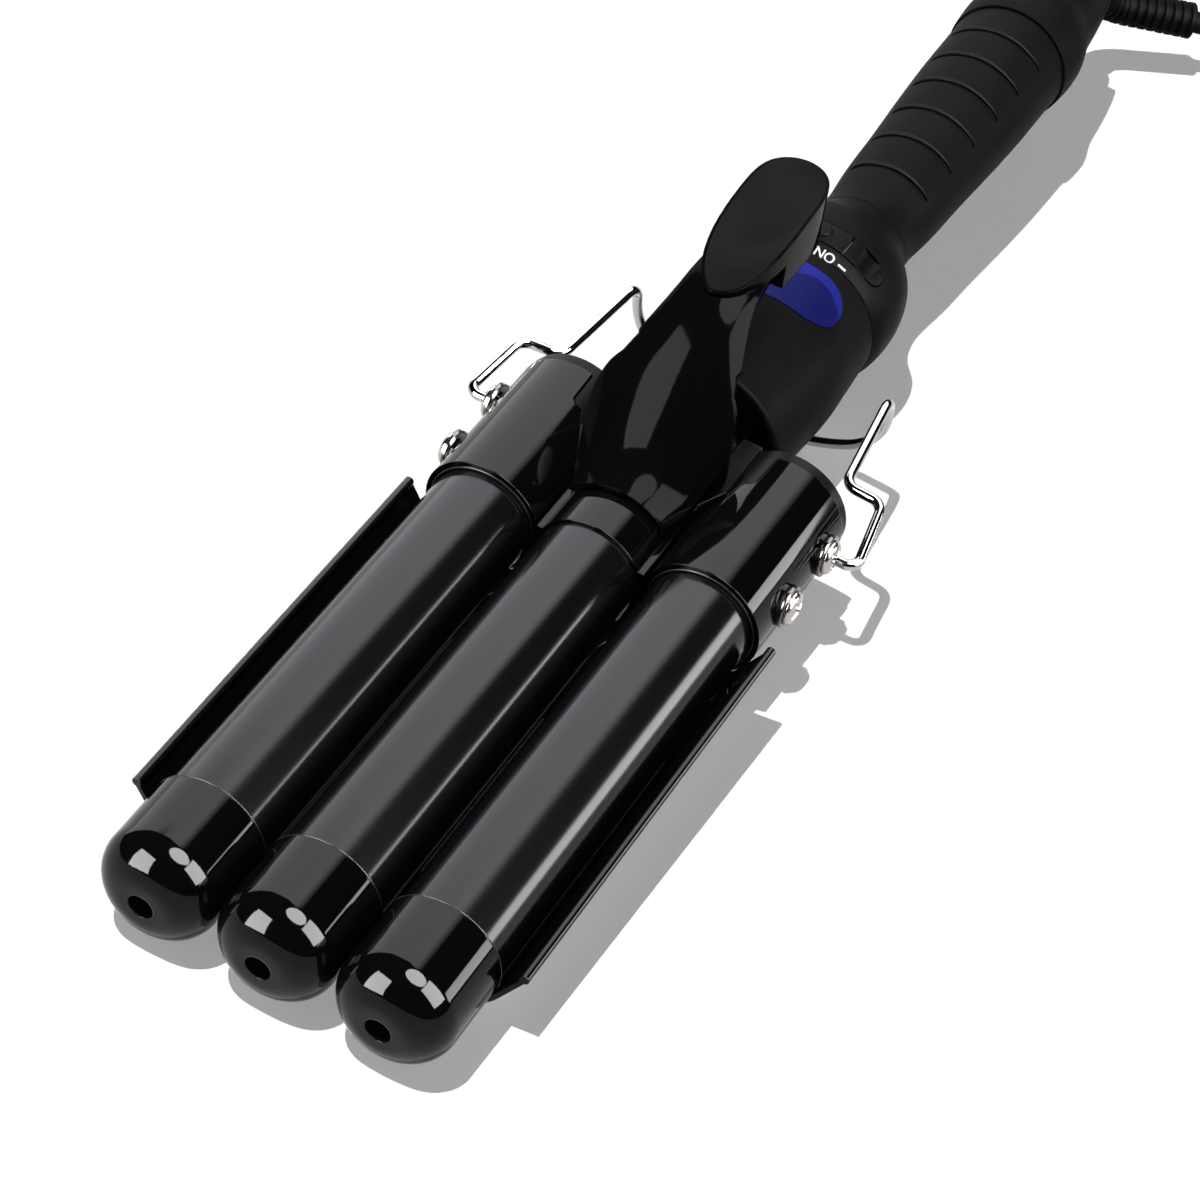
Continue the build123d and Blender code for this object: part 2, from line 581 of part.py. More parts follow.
def lever_section(y, half_width, shoulder_z, top_z, floor_z):
    """Closed arch section of the lever at y."""
    left_low = (-half_width, y, floor_z)
    left_high = (-half_width, y, shoulder_z)
    crown = (0, y, top_z)
    right_high = (half_width, y, shoulder_z)
    right_low = (half_width, y, floor_z)
    arch = ThreePointArc(left_high, crown, right_high)
    sides = [Line(left_low, left_high), arch, Line(right_high, right_low), Line(right_low, left_low)]
    return make_face(sides)


# Stations of the lever from the tongue to the arm: y, half width, shoulder height, crown height
LEVER_STATIONS = (
    (10.0, 12.0, 9.3, 15.2),
    (16.0, 14.0, 11.2, 17.4),
    (22.0, 16.1, 16.4, 22.2),
    (27.0, 17.3, 22.6, 27.8),
    (30.5, 16.6, 27.6, 31.9),
    (34.5, 14.2, 32.6, 36.5),
    (39.0, 12.3, 36.8, 40.8),
    (44.0, 10.4, 41.0, 44.6),
    (50.0, 8.8, 44.9, 47.2),
    (57.0, 7.9, 46.6, 48.6),
    (66.0, 7.6, 47.4, 49.4),
)
# Lower and rear edge of the lever in side view: y, z
LEVER_EDGE = (
    (10.0, 9.0), (30.4, 13.4), (28.9, 20.5), (29.0, 25.3), (33.6, 32.0), (36.8, 35.3), (39.5, 36.6), (43.5, 40.3),
    (49.7, 43.6), (66.0, 44.2), (66.0, 60.0), (8.0, 60.0),
)


def lever_loft(inset, floor_z):
    sections = []
    for y, half_width, shoulder_z, top_z in LEVER_STATIONS:
        sections.append(lever_section(y, half_width - inset, shoulder_z - inset, top_z - inset, floor_z))
    return loft(sections)


def head_outline(margin):
    """Plan outline of the lever's head, narrower at the front tip."""
    width = HEAD_HALF_WIDTH - margin
    front = HEAD_FRONT_Y + margin
    rear = HEAD_REAR_Y - margin
    side_points = [
        (0.42 * width, front + 1.9), (0.78 * width, front + 8.1), (0.97 * width, front + 19.5),
        (0.985 * width, rear - 14.5), (0.80 * width, rear - 5.0), (0.45 * width, rear - 1.3),
    ]
    right = [(0, front)] + side_points + [(0, rear)]
    left = [(-x, y) for x, y in reversed(side_points)]
    return make_face(Spline(right + left, periodic=True))


def head_top(drop, dish):
    """Solid of revolution about an X axis whose rim is the head's arched top line."""
    p0, p1, p2 = (HEAD_FRONT_Y, 47.9), (66.0, 52.6), (HEAD_REAR_Y, 54.8)
    # Circle through the three points of the top line.
    ax, ay, bx, by, cx, cy = *p0, *p1, *p2
    d = 2 * (ax * (by - cy) + bx * (cy - ay) + cx * (ay - by))
    a2, b2, c2 = ax * ax + ay * ay, bx * bx + by * by, cx * cx + cy * cy
    yc = (a2 * (by - cy) + b2 * (cy - ay) + c2 * (ay - by)) / d
    zc = (a2 * (cx - bx) + b2 * (ax - cx) + c2 * (bx - ax)) / d
    rim = hypot(p0[0] - yc, p0[1] - zc) - drop
    half = 12.0
    edge = rim + dish * ((half / HEAD_HALF_WIDTH) ** 2 - 1)
    crown = ThreePointArc((-half, edge), (0, rim - dish), (half, edge))
    inner = rim - 40
    face = make_face([
        crown, Line((half, edge), (half, inner)), Line((half, inner), (-half, inner)), Line((-half, inner), (-half, edge)),
    ])
    disc = revolve(Plane.XY * face, Axis.X)
    return Pos(0, yc, zc) * disc


def head_block(margin, z0, drop, dish):
    """The head's plan outline, from z0 up to its top surface."""
    plan = Pos(0, 0, z0) * extrude(head_outline(margin), amount=70 - z0)
    return plan & head_top(drop, dish)


def thumb_lever():
    """Hood, arm and head in one glossy moulding, hollow from below."""
    trim = prism_x(LEVER_EDGE, 40)
    body = lever_loft(0, 6.0) & trim
    body -= lever_loft(LEVER_WALL, 2.0)
    # The tongue and hood stand off the neck, the yoke's bridge and the outer sleeves.
    bridge_clear = YOKE_ARCH_RADIUS + YOKE_ARCH_THICKNESS + FIT
    body -= along_y(YOKE_ARCH_RADIUS, 5, 60)
    body -= along_y(bridge_clear, YOKE_FRONT_Y + 0.4, END_RING_REAR_Y)
    for side in SIDES:
        body -= along_y(SLEEVE_RADIUS + 0.12, -5, 60, side * BARREL_PITCH)
    head = head_block(0, HEAD_SKIRT_Z, 0, PAD_DISH)
    head -= block(-20, 20, 40, HEAD_SKIRT_FRONT_Y, 30, 46.4)
    hollow = head_block(HEAD_WALL, HEAD_SKIRT_Z - 5, PAD_THICKNESS + 2.0, PAD_DISH)
    hollow &= block(-20, 20, HEAD_SKIRT_FRONT_Y + HEAD_WALL, 100, 30, 60)
    recess = head_block(PAD_MARGIN, 40, -1, PAD_DISH) - head_block(PAD_MARGIN - 0.2, 30, PAD_THICKNESS, PAD_DISH)
    return body + head - hollow - recess


def thumb_pad():
    """Matte dished inlay in the lever's head."""
    pad = head_block(PAD_MARGIN + 0.06, 40, -0.1, PAD_DISH)
    return pad - head_block(PAD_MARGIN - 0.3, 30, PAD_THICKNESS - 0.01, PAD_DISH)


def side_screw(y, shank_radius):
    """Pan-head screw with a cross recess, on the +X side."""
    head = along_x(SIDE_SCREW_HEAD_RADIUS, SCREW_SEAT_X, SCREW_SEAT_X + SIDE_SCREW_HEAD_HEIGHT, y, SIDE_SCREW_Z)
    head = fillet(head.faces().sort_by(Axis.X)[-1].edges(), 1.4)
    face_x = SCREW_SEAT_X + SIDE_SCREW_HEAD_HEIGHT
    half, length, depth = CROSS_WIDTH / 2, CROSS_LENGTH / 2, CROSS_DEPTH
    for angle in CROSS_ANGLES:
        bar = block(face_x - depth, face_x + 1, y - half, y + half, SIDE_SCREW_Z - length, SIDE_SCREW_Z + length)
        head -= bar.rotate(Axis((0, y, SIDE_SCREW_Z), (1, 0, 0)), angle)
    return head + along_x(shank_radius - 0.01, SIDE_SCREW_TIP_X, SCREW_SEAT_X + 0.5, y, SIDE_SCREW_Z)


def front_side_screws():
    screw = side_screw(SIDE_SCREW_YS[0], SIDE_SCREW_SHANK_RADIUS)
    return screw + mirrored(screw)


def pivot_bushes():
    """Hollow screws whose bores hold the ends of the wire stand."""
    y = SIDE_SCREW_YS[1]
    bore = along_x(STAND_WIRE_RADIUS + RUNNING_FIT, STAND_WIRE_END_X - 0.3, 60, y, SIDE_SCREW_Z)
    bush = side_screw(y, BUSH_SHANK_RADIUS) - bore
    return bush + mirrored(bush)


def screw_washers():
    washers = None
    for y, shank in zip(SIDE_SCREW_YS, SIDE_SHANK_RADII):
        washer = ring_x(WASHER_RADIUS, shank + FIT, SCREW_SEAT_X - WASHER_THICKNESS, SCREW_SEAT_X, y, SIDE_SCREW_Z)
        pair = washer + mirrored(washer)
        washers = pair if washers is None else washers + pair
    return washers


# ---------------------------------------------------------------- wire stand


def bow_point(x, depth):
    """A point of the bow's plane, which leans back as it goes down."""
    lean = radians(BOW_LEAN)
    return (x, BOW_TOP_Y + depth * sin(lean), BOW_TOP_Z - depth * cos(lean))


def wire_stand():
    """One bent wire: its ends turn in the pivot bushes, its bow passes under the drum."""
    pivot_y = SIDE_SCREW_YS[1]
    arm = FilletPolyline(
        (STAND_WIRE_END_X, pivot_y, SIDE_SCREW_Z),
        (STAND_ELBOW_X, pivot_y, SIDE_SCREW_Z),
        (46.9, 50.5, 5.0),
        (36.9, 51.8, 4.4),
        (BOW_HALF_WIDTH, BOW_TOP_Y, BOW_TOP_Z),
        bow_point(BOW_HALF_WIDTH, BOW_STRAIGHT),
        radius=[2.6, 4.0, 4.0, 5.0],
    )
    # The bow: side arc, crown arc, side arc.
    side_end_angle = atan2(BOW_STRAIGHT - BOW_CROWN_CENTRE_DEPTH, BOW_SIDE_CENTRE_X)

    def side_arc_point(angle, side):
        x = side * (BOW_SIDE_CENTRE_X + BOW_SIDE_RADIUS * cos(angle))
        return bow_point(x, BOW_STRAIGHT + BOW_SIDE_RADIUS * sin(angle))

    angles = (0, side_end_angle / 2, side_end_angle)
    right = ThreePointArc(*[side_arc_point(angle, 1) for angle in angles])
    left = ThreePointArc(*[side_arc_point(angle, -1) for angle in reversed(angles)])
    crown = ThreePointArc(side_arc_point(side_end_angle, 1), bow_point(0, BOW_DEPTH), side_arc_point(side_end_angle, -1))
    path = Wire([*arm.edges(), *right.edges(), *crown.edges(), *left.edges(), *mirrored(arm).edges()])
    return sweep(Plane(origin=path @ 0, z_dir=path % 0) * Circle(STAND_WIRE_RADIUS), path=path)


# ---------------------------------------------------------------- handle


def window_outline(margin):
    """Rounded window with slightly bulged sides, in plan."""
    x = WINDOW_HALF_WIDTH - margin
    y = WINDOW_HALF_LENGTH - margin
    bulge = WINDOW_BULGE
    edges = [
        ThreePointArc((-x, -y), (0, -y - bulge), (x, -y)),
        ThreePointArc((x, -y), (x + bulge, 0), (x, y)),
        ThreePointArc((x, y), (0, y + bulge), (-x, y)),
        ThreePointArc((-x, y), (-x - bulge, 0), (-x, -y)),
    ]
    face = make_face(edges)
    face = fillet(face.vertices(), WINDOW_CORNER)
    return Pos(0, WINDOW_CENTRE_Y) * face


def drum_screw_hole(radius):
    """Column below the neck, through the drum's wall, its web and the neck's wall."""
    return Pos(0, BULKHEAD_Y + BULKHEAD_THICKNESS / 2, -17) * Cylinder(radius, 14)


def drum_shell():
    outer = turned(DRUM_PROFILE)
    outer = fillet(outer.faces().sort_by(Axis.Y)[0].edges(), 1.3)
    inner = turned(DRUM_PROFILE, HANDLE_WALL, -1, -1)
    web = along_y(19.5, BULKHEAD_Y, BULKHEAD_Y + BULKHEAD_THICKNESS) & turned(DRUM_PROFILE, HANDLE_WALL / 2)
    web -= along_y(NECK_RADIUS + FIT, BULKHEAD_Y - 1, BULKHEAD_Y + 10)
    window = Pos(0, 0, 5) * extrude(window_outline(-FIT), amount=30)
    return (outer - inner - window) + web - drum_screw_hole(DRUM_SCREW_RADIUS + FIT)


def drum_screw():
    """Screw from below that ties the drum to the neck."""
    screw_y = BULKHEAD_Y + BULKHEAD_THICKNESS / 2
    wall_z = -(profile_radius(DRUM_PROFILE, screw_y) - HANDLE_WALL)
    head = Pos(0, screw_y, wall_z - HANDLE_WALL - 0.65) * Cylinder(DRUM_SCREW_HEAD_RADIUS, 0.9)
    tip_z = -(NECK_RADIUS - NECK_WALL) + 0.2
    shank_length = tip_z - wall_z + HANDLE_WALL + 0.4
    shank = Pos(0, screw_y, (tip_z + wall_z - HANDLE_WALL) / 2) * Cylinder(DRUM_SCREW_RADIUS - 0.01, shank_length)
    return head + shank


def display_window():
    outer = turned(tuple((y, r + WINDOW_PROUD) for y, r in DRUM_PROFILE))
    inner = turned(tuple((y, r - WINDOW_THICKNESS) for y, r in DRUM_PROFILE), 0, -1, -1)
    column = Pos(0, 0, 5) * extrude(window_outline(0), amount=30)
    return (outer - inner) & column


def control_board():
    board = block(-BOARD_HALF_WIDTH, BOARD_HALF_WIDTH, BOARD_FRONT_Y, BOARD_REAR_Y, BOARD_Z, BOARD_Z + BOARD_THICKNESS)
    inner = turned(DRUM_PROFILE, HANDLE_WALL + 0.2, -1, -1)
    return board & inner


def board_parts():
    """Capacitor, relay and chip on the underside of the control board."""
    relay = block(-9, -1, 70, 84, BOARD_Z - 7, BOARD_Z - 0.05)
    capacitor = Pos(6, 76, BOARD_Z - 4.55) * Cylinder(4, 9)
    chip = block(-6, 6, 89, 96, BOARD_Z - 1.8, BOARD_Z - 0.05)
    return relay + capacitor + chip


def display_module():
    width, length, height = DISPLAY_SIZE
    z0 = BOARD_Z + BOARD_THICKNESS + 0.05
    return block(-width / 2, width / 2, WINDOW_CENTRE_Y - length / 2, WINDOW_CENTRE_Y + length / 2, z0, z0 + height)


def button_sector(r0, r1, a0, a1, margin):
    """Sector of a ring about Y between two angles from the top, with its length less the margins."""
    y0 = BUTTON_CENTRE_Y - BUTTON_LENGTH_Y / 2 + margin
    y1 = BUTTON_CENTRE_Y + BUTTON_LENGTH_Y / 2 - margin
    ring = ring_y(r1, r0, y0, y1)
    reach = 60
    a0r, a1r = radians(a0), radians(a1)
    middle = (a0r + a1r) / 2
    wedge_points = [
        (0, 0), (reach * sin(a0r), reach * cos(a0r)),
        (1.3 * reach * sin(middle), 1.3 * reach * cos(middle)), (reach * sin(a1r), reach * cos(a1r)),
    ]
    wedge = Plane(origin=(0, y1 + 5, 0), x_dir=(1, 0, 0), z_dir=(0, -1, 0)) * make_face(Polyline(wedge_points, close=True))
    return ring & extrude(wedge, amount=BUTTON_LENGTH_Y + 10)


def button_band(r0, r1, margin):
    """The whole slot of the three buttons: a sector with round ends, grown by -margin."""
    end_arc = degrees((BUTTON_LENGTH_Y / 2) / COLLAR_TOP_RADIUS)
    limit = BUTTON_SPAN - end_arc
    band = button_sector(r0, r1, -limit, limit, margin)
    ring = ring_y(r1, r0, BUTTON_CENTRE_Y - 10, BUTTON_CENTRE_Y + 10)
    for side in SIDES:
        column = Pos(0, BUTTON_CENTRE_Y, 25) * Cylinder(BUTTON_LENGTH_Y / 2 - margin, 40)
        band += ring & (Rot(0, side * limit, 0) * column)
    return band


def button_cap(name):
    """One push button: the cap in the collar's slot, a flange behind it and a stem to its switch."""
    angle = BUTTON_ANGLES[name]
    top = turned(COLLAR_PROFILE, -BUTTON_PROUD)
    band = button_band(CARRIER_OUTER_RADIUS, 26, BUTTON_GAP) & top
    gap_angle = degrees(BUTTON_SEAM_GAP / 2 / COLLAR_TOP_RADIUS)
    if name == "button_power":
        low, high = -BUTTON_SEAM + gap_angle, BUTTON_SEAM - gap_angle
    else:
        low, high = sorted((angle / abs(angle) * (BUTTON_SEAM + gap_angle), angle / abs(angle) * 80))
    inner = BUTTON_INNER_RADIUS
    sector = button_sector(inner, 27, low, high, -1)
    flange = button_band(inner - 0.5, inner + 0.5, -BUTTON_FLANGE) & sector
    cap_solid = (band & sector) + flange
    if name == "button_power":
        dome = Pos(0, BUTTON_CENTRE_Y, inner + 1.9) * Cylinder(BUTTON_DOME_RADIUS, 3.8)
        cap_solid += fillet(dome.faces().sort_by(Axis.Z)[-1].edges(), 0.6)
    else:
        trough_z = COLLAR_TOP_RADIUS + BUTTON_PROUD + BUTTON_TROUGH_RADIUS - BUTTON_TROUGH_DEPTH
        trough = along_y(BUTTON_TROUGH_RADIUS, BUTTON_CENTRE_Y - 12, BUTTON_CENTRE_Y + 12, 0, trough_z)
        cap_solid -= Rot(0, angle, 0) * trough
    stem_low = CARRIER_OUTER_RADIUS + SWITCH_SIZE[2] + SWITCH_STEM_HEIGHT + BUTTON_TRAVEL + FIT
    stem = Pos(0, BUTTON_CENTRE_Y, (stem_low + inner + 1) / 2) * Cylinder(BUTTON_STEM_RADIUS, inner + 1 - stem_low)
    return cap_solid + Rot(0, angle, 0) * stem


def control_collar():
    """Collar that carries the buttons, with spigots into the drum and the grip."""
    outer = turned(COLLAR_PROFILE)
    inner = turned(COLLAR_PROFILE, HANDLE_WALL, -1, -1)
    shell = outer - inner
    spigot_r = profile_radius(DRUM_PROFILE, DRUM_PROFILE[-1][0]) - HANDLE_WALL - FIT
    front_y = COLLAR_PROFILE[0][0]
    shell += ring_y(spigot_r, spigot_r - SPIGOT_WALL, DRUM_PROFILE[-1][0] - JOINT_SPIGOT_LENGTH, front_y + 1.2)
    shell += ring_y(spigot_r + 0.7, spigot_r - SPIGOT_WALL, front_y + 0.1, front_y + 1.6)
    rear_y = COLLAR_PROFILE[-1][0]
    spigot_rear_y = GRIP_PROFILE[0][0] + JOINT_SPIGOT_LENGTH
    grip_r = profile_radius(GRIP_PROFILE, spigot_rear_y) - HANDLE_WALL - 3 * FIT
    shell += ring_y(grip_r, grip_r - SPIGOT_WALL, rear_y - 1.5, spigot_rear_y)
    shell += ring_y(COLLAR_PROFILE[-1][1] - HANDLE_WALL + 0.4, grip_r - SPIGOT_WALL, rear_y - 1.6, rear_y - 0.1)
    return shell - button_band(10, 30, 0)


def switch_carrier():
    """Arched bracket under the buttons, held between two feet in the collar."""
    y0 = BUTTON_CENTRE_Y - 4.5
    y1 = BUTTON_CENTRE_Y + 4.5
    arch = ring_y(CARRIER_OUTER_RADIUS, CARRIER_OUTER_RADIUS - CARRIER_THICKNESS, y0, y1)
    arch &= block(-30, 30, y0 - 1, y1 + 1, -4.0, 30)
    for side in SIDES:
        foot = block(12.4, profile_radius(COLLAR_PROFILE, BUTTON_CENTRE_Y) - HANDLE_WALL - 0.2, y0, y1, -4.0, -1.6)
        arch += on_side(side, foot)
    for angle in BUTTON_ANGLES.values():
        seat = block(-4, 4, y0, y1, CARRIER_OUTER_RADIUS - 1.5, CARRIER_OUTER_RADIUS)
        arch += Rot(0, angle, 0) * seat
    inner = turned(COLLAR_PROFILE, HANDLE_WALL + 0.15, -1, -1)
    return arch & inner


def tact_switches():
    width, length, height = SWITCH_SIZE
    switches = None
    for angle in BUTTON_ANGLES.values():
        z0 = CARRIER_OUTER_RADIUS + 0.02
        body = block(-width / 2, width / 2, BUTTON_CENTRE_Y - length / 2, BUTTON_CENTRE_Y + length / 2, z0, z0 + height)
        body += Pos(0, BUTTON_CENTRE_Y, z0 + height + SWITCH_STEM_HEIGHT / 2 - FIT) * Cylinder(SWITCH_STEM_RADIUS, SWITCH_STEM_HEIGHT)
        turned_body = Rot(0, angle, 0) * body
        switches = turned_body if switches is None else switches + turned_body
    return switches


def grip_shell():
    outer = turned(GRIP_PROFILE)
    inner = turned(GRIP_PROFILE, HANDLE_WALL, -1, -1)
    shell = outer - inner
    reach = 40
    half = radians(GROOVE_HALF_ANGLE)
    wedge_points = [(0, 0), (-reach * sin(half), reach * cos(half)), (0, 1.5 * reach), (reach * sin(half), reach * cos(half))]
    for y in GROOVE_YS:
        radius = profile_radius(GRIP_PROFILE, y)
        ring = ring_y(radius + 3, radius - GROOVE_DEPTH, y - GROOVE_WIDTH / 2, y + GROOVE_WIDTH / 2)
        wedge = Plane(origin=(0, y + 3, 0), x_dir=(1, 0, 0), z_dir=(0, -1, 0)) * make_face(Polyline(wedge_points, close=True))
        shell -= ring & extrude(wedge, amount=6)
    return shell


def tail_shell():
    outer = turned(TAIL_PROFILE)
    inner = turned(TAIL_PROFILE, HANDLE_WALL, -1, -1)
    shell = outer - inner
    spigot_r = GRIP_PROFILE[-1][1] - HANDLE_WALL - FIT
    front_y = TAIL_PROFILE[0][0]
    shell += ring_y(spigot_r, spigot_r - SPIGOT_WALL, GRIP_PROFILE[-1][0] - JOINT_SPIGOT_LENGTH, front_y + 1.5)
    shell += ring_y(spigot_r + 1.2, spigot_r - SPIGOT_WALL, front_y + 0.1, front_y + 1.6)
    socket = along_y(12, 262, 270) & turned(TAIL_PROFILE, HANDLE_WALL / 2)
    shell += socket
    shell -= Pos(0, SWIVEL_CENTRE_Y, 0) * Sphere(SWIVEL_RADIUS + RUNNING_FIT + 0.1)
    shell -= along_y(3.4, 250, 275)
    return shell


def mains_leads():
    """Two leads inside the handle, from the swivel to the control board."""
    leads = None
    for side in SIDES:
        x = side * 2.0
        points = [
            (x, SWIVEL_CENTRE_Y - SWIVEL_RADIUS, 0), (x, 250, -1.5), (x * 1.4, 200, 1.5), (x * 1.2, 150, -1.5),
            (x, 112, -4.0), (x * 1.3, BOARD_REAR_Y - 8, BOARD_Z - 3.2 - LEAD_RADIUS),
        ]
        lead = wire_rod(points, 12.0, LEAD_RADIUS)
        leads = lead if leads is None else leads + lead
    return leads


# ---------------------------------------------------------------- swivel, relief, cord and plug

# Strain relief axis in the tool frame: from the swivel it droops and bends to the right.
RELIEF_PATH = [(0.0, SWIVEL_CENTRE_Y, 0.0), (5.0, 285.6, -16.6), (26.2, 298.4, -20.6)]
RELIEF_BEND = 13.0
RELIEF_SEAT = 3.0


def swivel_ball():
    ball = Pos(0, SWIVEL_CENTRE_Y, 0) * Sphere(SWIVEL_RADIUS)
    return ball - relief_tube(RELIEF_CORE_RADIUS + 0.01)


def relief_path():
    return FilletPolyline(RELIEF_PATH, radius=RELIEF_BEND)


def relief_tube(radius):
    """Round tube along the relief's axis, from inside the swivel."""
    path = relief_path()
    section = Plane(origin=path @ 0, z_dir=path % 0) * Circle(radius)
    return sweep(section, path=path) - Pos(0, SWIVEL_CENTRE_Y, 0) * Sphere(SWIVEL_RADIUS - RELIEF_SEAT)


def strain_relief():
    """Ribbed sleeve: a core with evenly spaced ribs."""
    path = relief_path()
    core = relief_tube(RELIEF_CORE_RADIUS)
    length = path.length
    count = int((length - SWIVEL_RADIUS - RELIEF_RADIUS) // RELIEF_RIB_PITCH)
    first = length - RELIEF_RIB_WIDTH / 2 - (count - 1) * RELIEF_RIB_PITCH
    for index in range(count):
        s = (first + index * RELIEF_RIB_PITCH) / length
        rib = Plane(origin=path @ s, z_dir=path % s) * Cylinder(RELIEF_RADIUS, RELIEF_RIB_WIDTH)
        core += rib
    return core


def world(shape):
    """From the tool frame to the resting pose, before the shift to the footprint's centre."""
    return Pos(0, 0, FLOOR_LIFT) * Rot(REST_TILT, 0, 0) * shape


def world_point(x, y, z):
    tilt = radians(REST_TILT)
    return (x, y * cos(tilt) - z * sin(tilt), y * sin(tilt) + z * cos(tilt) + FLOOR_LIFT)


# The coil lies on the table to the right of the tail; the plug lies in front of it.
COIL_CENTRE = (118.0, 272.0)
PLUG_CENTRE = (139.5, 153.0)


def cord_route():
    """The cord's free stretch from the relief down to the table and along to the coil."""
    return [
        world_point(*RELIEF_PATH[-1]), (48.0, 311.6, 9.8), (74.0, 316.0, 4.4), (98.0, 309.5, 5.2), (113.0, 303.5, 8.6),
    ]


def plug_route():
    """The short stretch from the coil to the plug."""
    neck_y = PLUG_CENTRE[1] + PLUG_SIZE[1] / 2 + PLUG_NECK_LENGTH
    return [
        (150.6, 264.0, 9.0), (151.6, 245.0, 7.2), (149.0, 225.0, 4.4), (143.0, 207.0, 5.6), (140.0, 192.0, 8.6),
        (PLUG_CENTRE[0], neck_y, PLUG_SIZE[2] / 2),
    ]


def arc_radii(points):
    """For each corner, 0.45 of the shorter run over the tangent of half the turn."""
    radii = []
    for before, corner, after in zip(points, points[1:], points[2:]):
        run_in = Vector(*corner) - Vector(*before)
        run_out = Vector(*after) - Vector(*corner)
        half_turn = radians(run_in.get_angle(run_out)) / 2
        radii.append(0.45 * min(run_in.length, run_out.length) / tan(half_turn))
    return radii


def cord_tube(points, radius):
    radii = arc_radii(points)
    path = FilletPolyline(points, radius=radii)
    tube = sweep(Plane(origin=path @ 0, z_dir=path % 0) * Circle(radius), path=path)
    share = tube.volume / (pi * radius**2 * path.length)
    print("cord radii", [round(r, 1) for r in radii], "length", round(path.length, 1), "volume share", round(share, 4))
    return tube


def coil_solid():
    """Outer shape of the coiled cord: a thick ring that lies on the table."""
    section = Plane.XZ * (Pos(COIL_RADIUS, COIL_HEIGHT / 2) * RectangleRounded(COIL_WIDTH, COIL_HEIGHT, 5.0))
    ring = revolve(section, Axis.Z)
    return Pos(COIL_CENTRE[0], COIL_CENTRE[1], 0) * ring


def plug_body():
    width, length, height = PLUG_SIZE
    plug_x, plug_y = PLUG_CENTRE
    body = Pos(plug_x, plug_y, height / 2) * Box(width, length, height)
    body = fillet(body.edges().filter_by(Axis.Y), PLUG_SIDE_ROUND)
    rear = body.faces().sort_by(Axis.Y)[-1]
    body = fillet(rear.edges(), PLUG_REAR_ROUND)
    rear_y = plug_y + length / 2
    return body + along_y(PLUG_NECK_RADIUS, rear_y - 1, rear_y + PLUG_NECK_LENGTH, plug_x, height / 2)


def plug_blades():
    width, length, height = BLADE_SIZE
    plug_x, plug_y = PLUG_CENTRE
    front = plug_y - PLUG_SIZE[1] / 2
    z = PLUG_SIZE[2] / 2
    blades = None
    for side in SIDES:
        x = plug_x + side * BLADE_SPACING / 2
        blade = block(x - width / 2, x + width / 2, front - length, front, z - height / 2, z + height / 2)
        blade -= along_x(BLADE_HOLE_RADIUS, x - 3, x + 3, front - length + BLADE_HOLE_FROM_TIP, z)
        blades = blade if blades is None else blades + blade
    return blades


# ---------------------------------------------------------------- assembly


def tool_pieces():
    """Every piece that is modelled in the tool frame."""
    pieces = {}
    for name, step in (("left", -1), ("middle", 0), ("right", 1)):
        x = step * BARREL_PITCH
        pieces["barrel_" + name] = barrel(x) if step else middle_barrel()
        pieces["cap_" + name] = cap(x)
        pieces["heat_spreader_" + name] = heat_spreader(x)
        pieces["ceramic_heater_" + name] = ceramic_heater(x)
    pieces["middle_sleeve"] = middle_sleeve()
    pieces["middle_core"] = middle_core()
    pieces["temperature_sensor"] = temperature_sensor()
    pieces["thermal_fuse"] = thermal_fuse()
    pieces["middle_leads"] = middle_leads()
    pieces["guard_plate"] = guard_plate()
    pieces["guard_spacers"] = guard_spacers()
    pieces["guard_screws"] = guard_screws()
    sleeve = outer_sleeve()
    pieces["outer_sleeve_right"] = sleeve
    pieces["outer_sleeve_left"] = mirrored(sleeve)
    lever = thumb_lever()
    pieces["yoke"] = yoke(lever)
    pieces["hinge_pin"] = hinge_pin()
    pieces["hinge_spring"] = hinge_spring()
    pieces["outer_leads"] = outer_leads()
    pieces["thumb_lever"] = lever
    pieces["thumb_pad"] = thumb_pad()
    pieces["front_side_screws"] = front_side_screws()
    pieces["pivot_bushes"] = pivot_bushes()
    pieces["screw_washers"] = screw_washers()
    pieces["wire_stand"] = wire_stand()
    pieces["drum_shell"] = drum_shell()
    pieces["drum_screw"] = drum_screw()
    pieces["display_window"] = display_window()
    pieces["display_module"] = display_module()
    pieces["control_board"] = control_board()
    pieces["board_parts"] = board_parts()
    pieces["control_collar"] = control_collar()
    for name in BUTTON_ANGLES:
        pieces[name] = button_cap(name)
    pieces["switch_carrier"] = switch_carrier()
    pieces["tact_switches"] = tact_switches()
    pieces["grip_shell"] = grip_shell()
    pieces["tail_shell"] = tail_shell()
    pieces["mains_leads"] = mains_leads()
    pieces["swivel_ball"] = swivel_ball()
    pieces["strain_relief"] = strain_relief()
    return pieces


def cord_pieces(relief):
    """Every piece of the cord, modelled where it lies on the table."""
    tube = cord_tube(cord_route(), CORD_RADIUS)
    lead = cord_tube(plug_route(), CORD_RADIUS)
    coil = coil_solid()
    plug = plug_body()
    return {
        "power_cord": tube - coil - relief,
        "cord_coil": coil,
        "plug_lead": lead - coil - plug,
        "plug_body": plug,
        "plug_blades": plug_blades(),
    }


def footprint_centre_y(placed):
    """Middle of the tool's length on the table, without the cord."""
    boxes = [shape.bounding_box() for name, shape in placed.items() if name != "strain_relief"]
    return (min(box.min.Y for box in boxes) + max(box.max.Y for box in boxes)) / 2


def main():
    placed = {name: world(shape) for name, shape in tool_pieces().items()}
    shift_y = footprint_centre_y(placed)
    print("rest tilt", round(REST_TILT, 5), "floor lift", round(FLOOR_LIFT, 5), "shift y", round(shift_y, 5))
    placed.update(cord_pieces(placed["strain_relief"]))
    os.makedirs("parts", exist_ok=True)
    for name, shape in placed.items():
        export_step(Pos(0, -shift_y, 0) * shape, "parts/" + name + ".step")


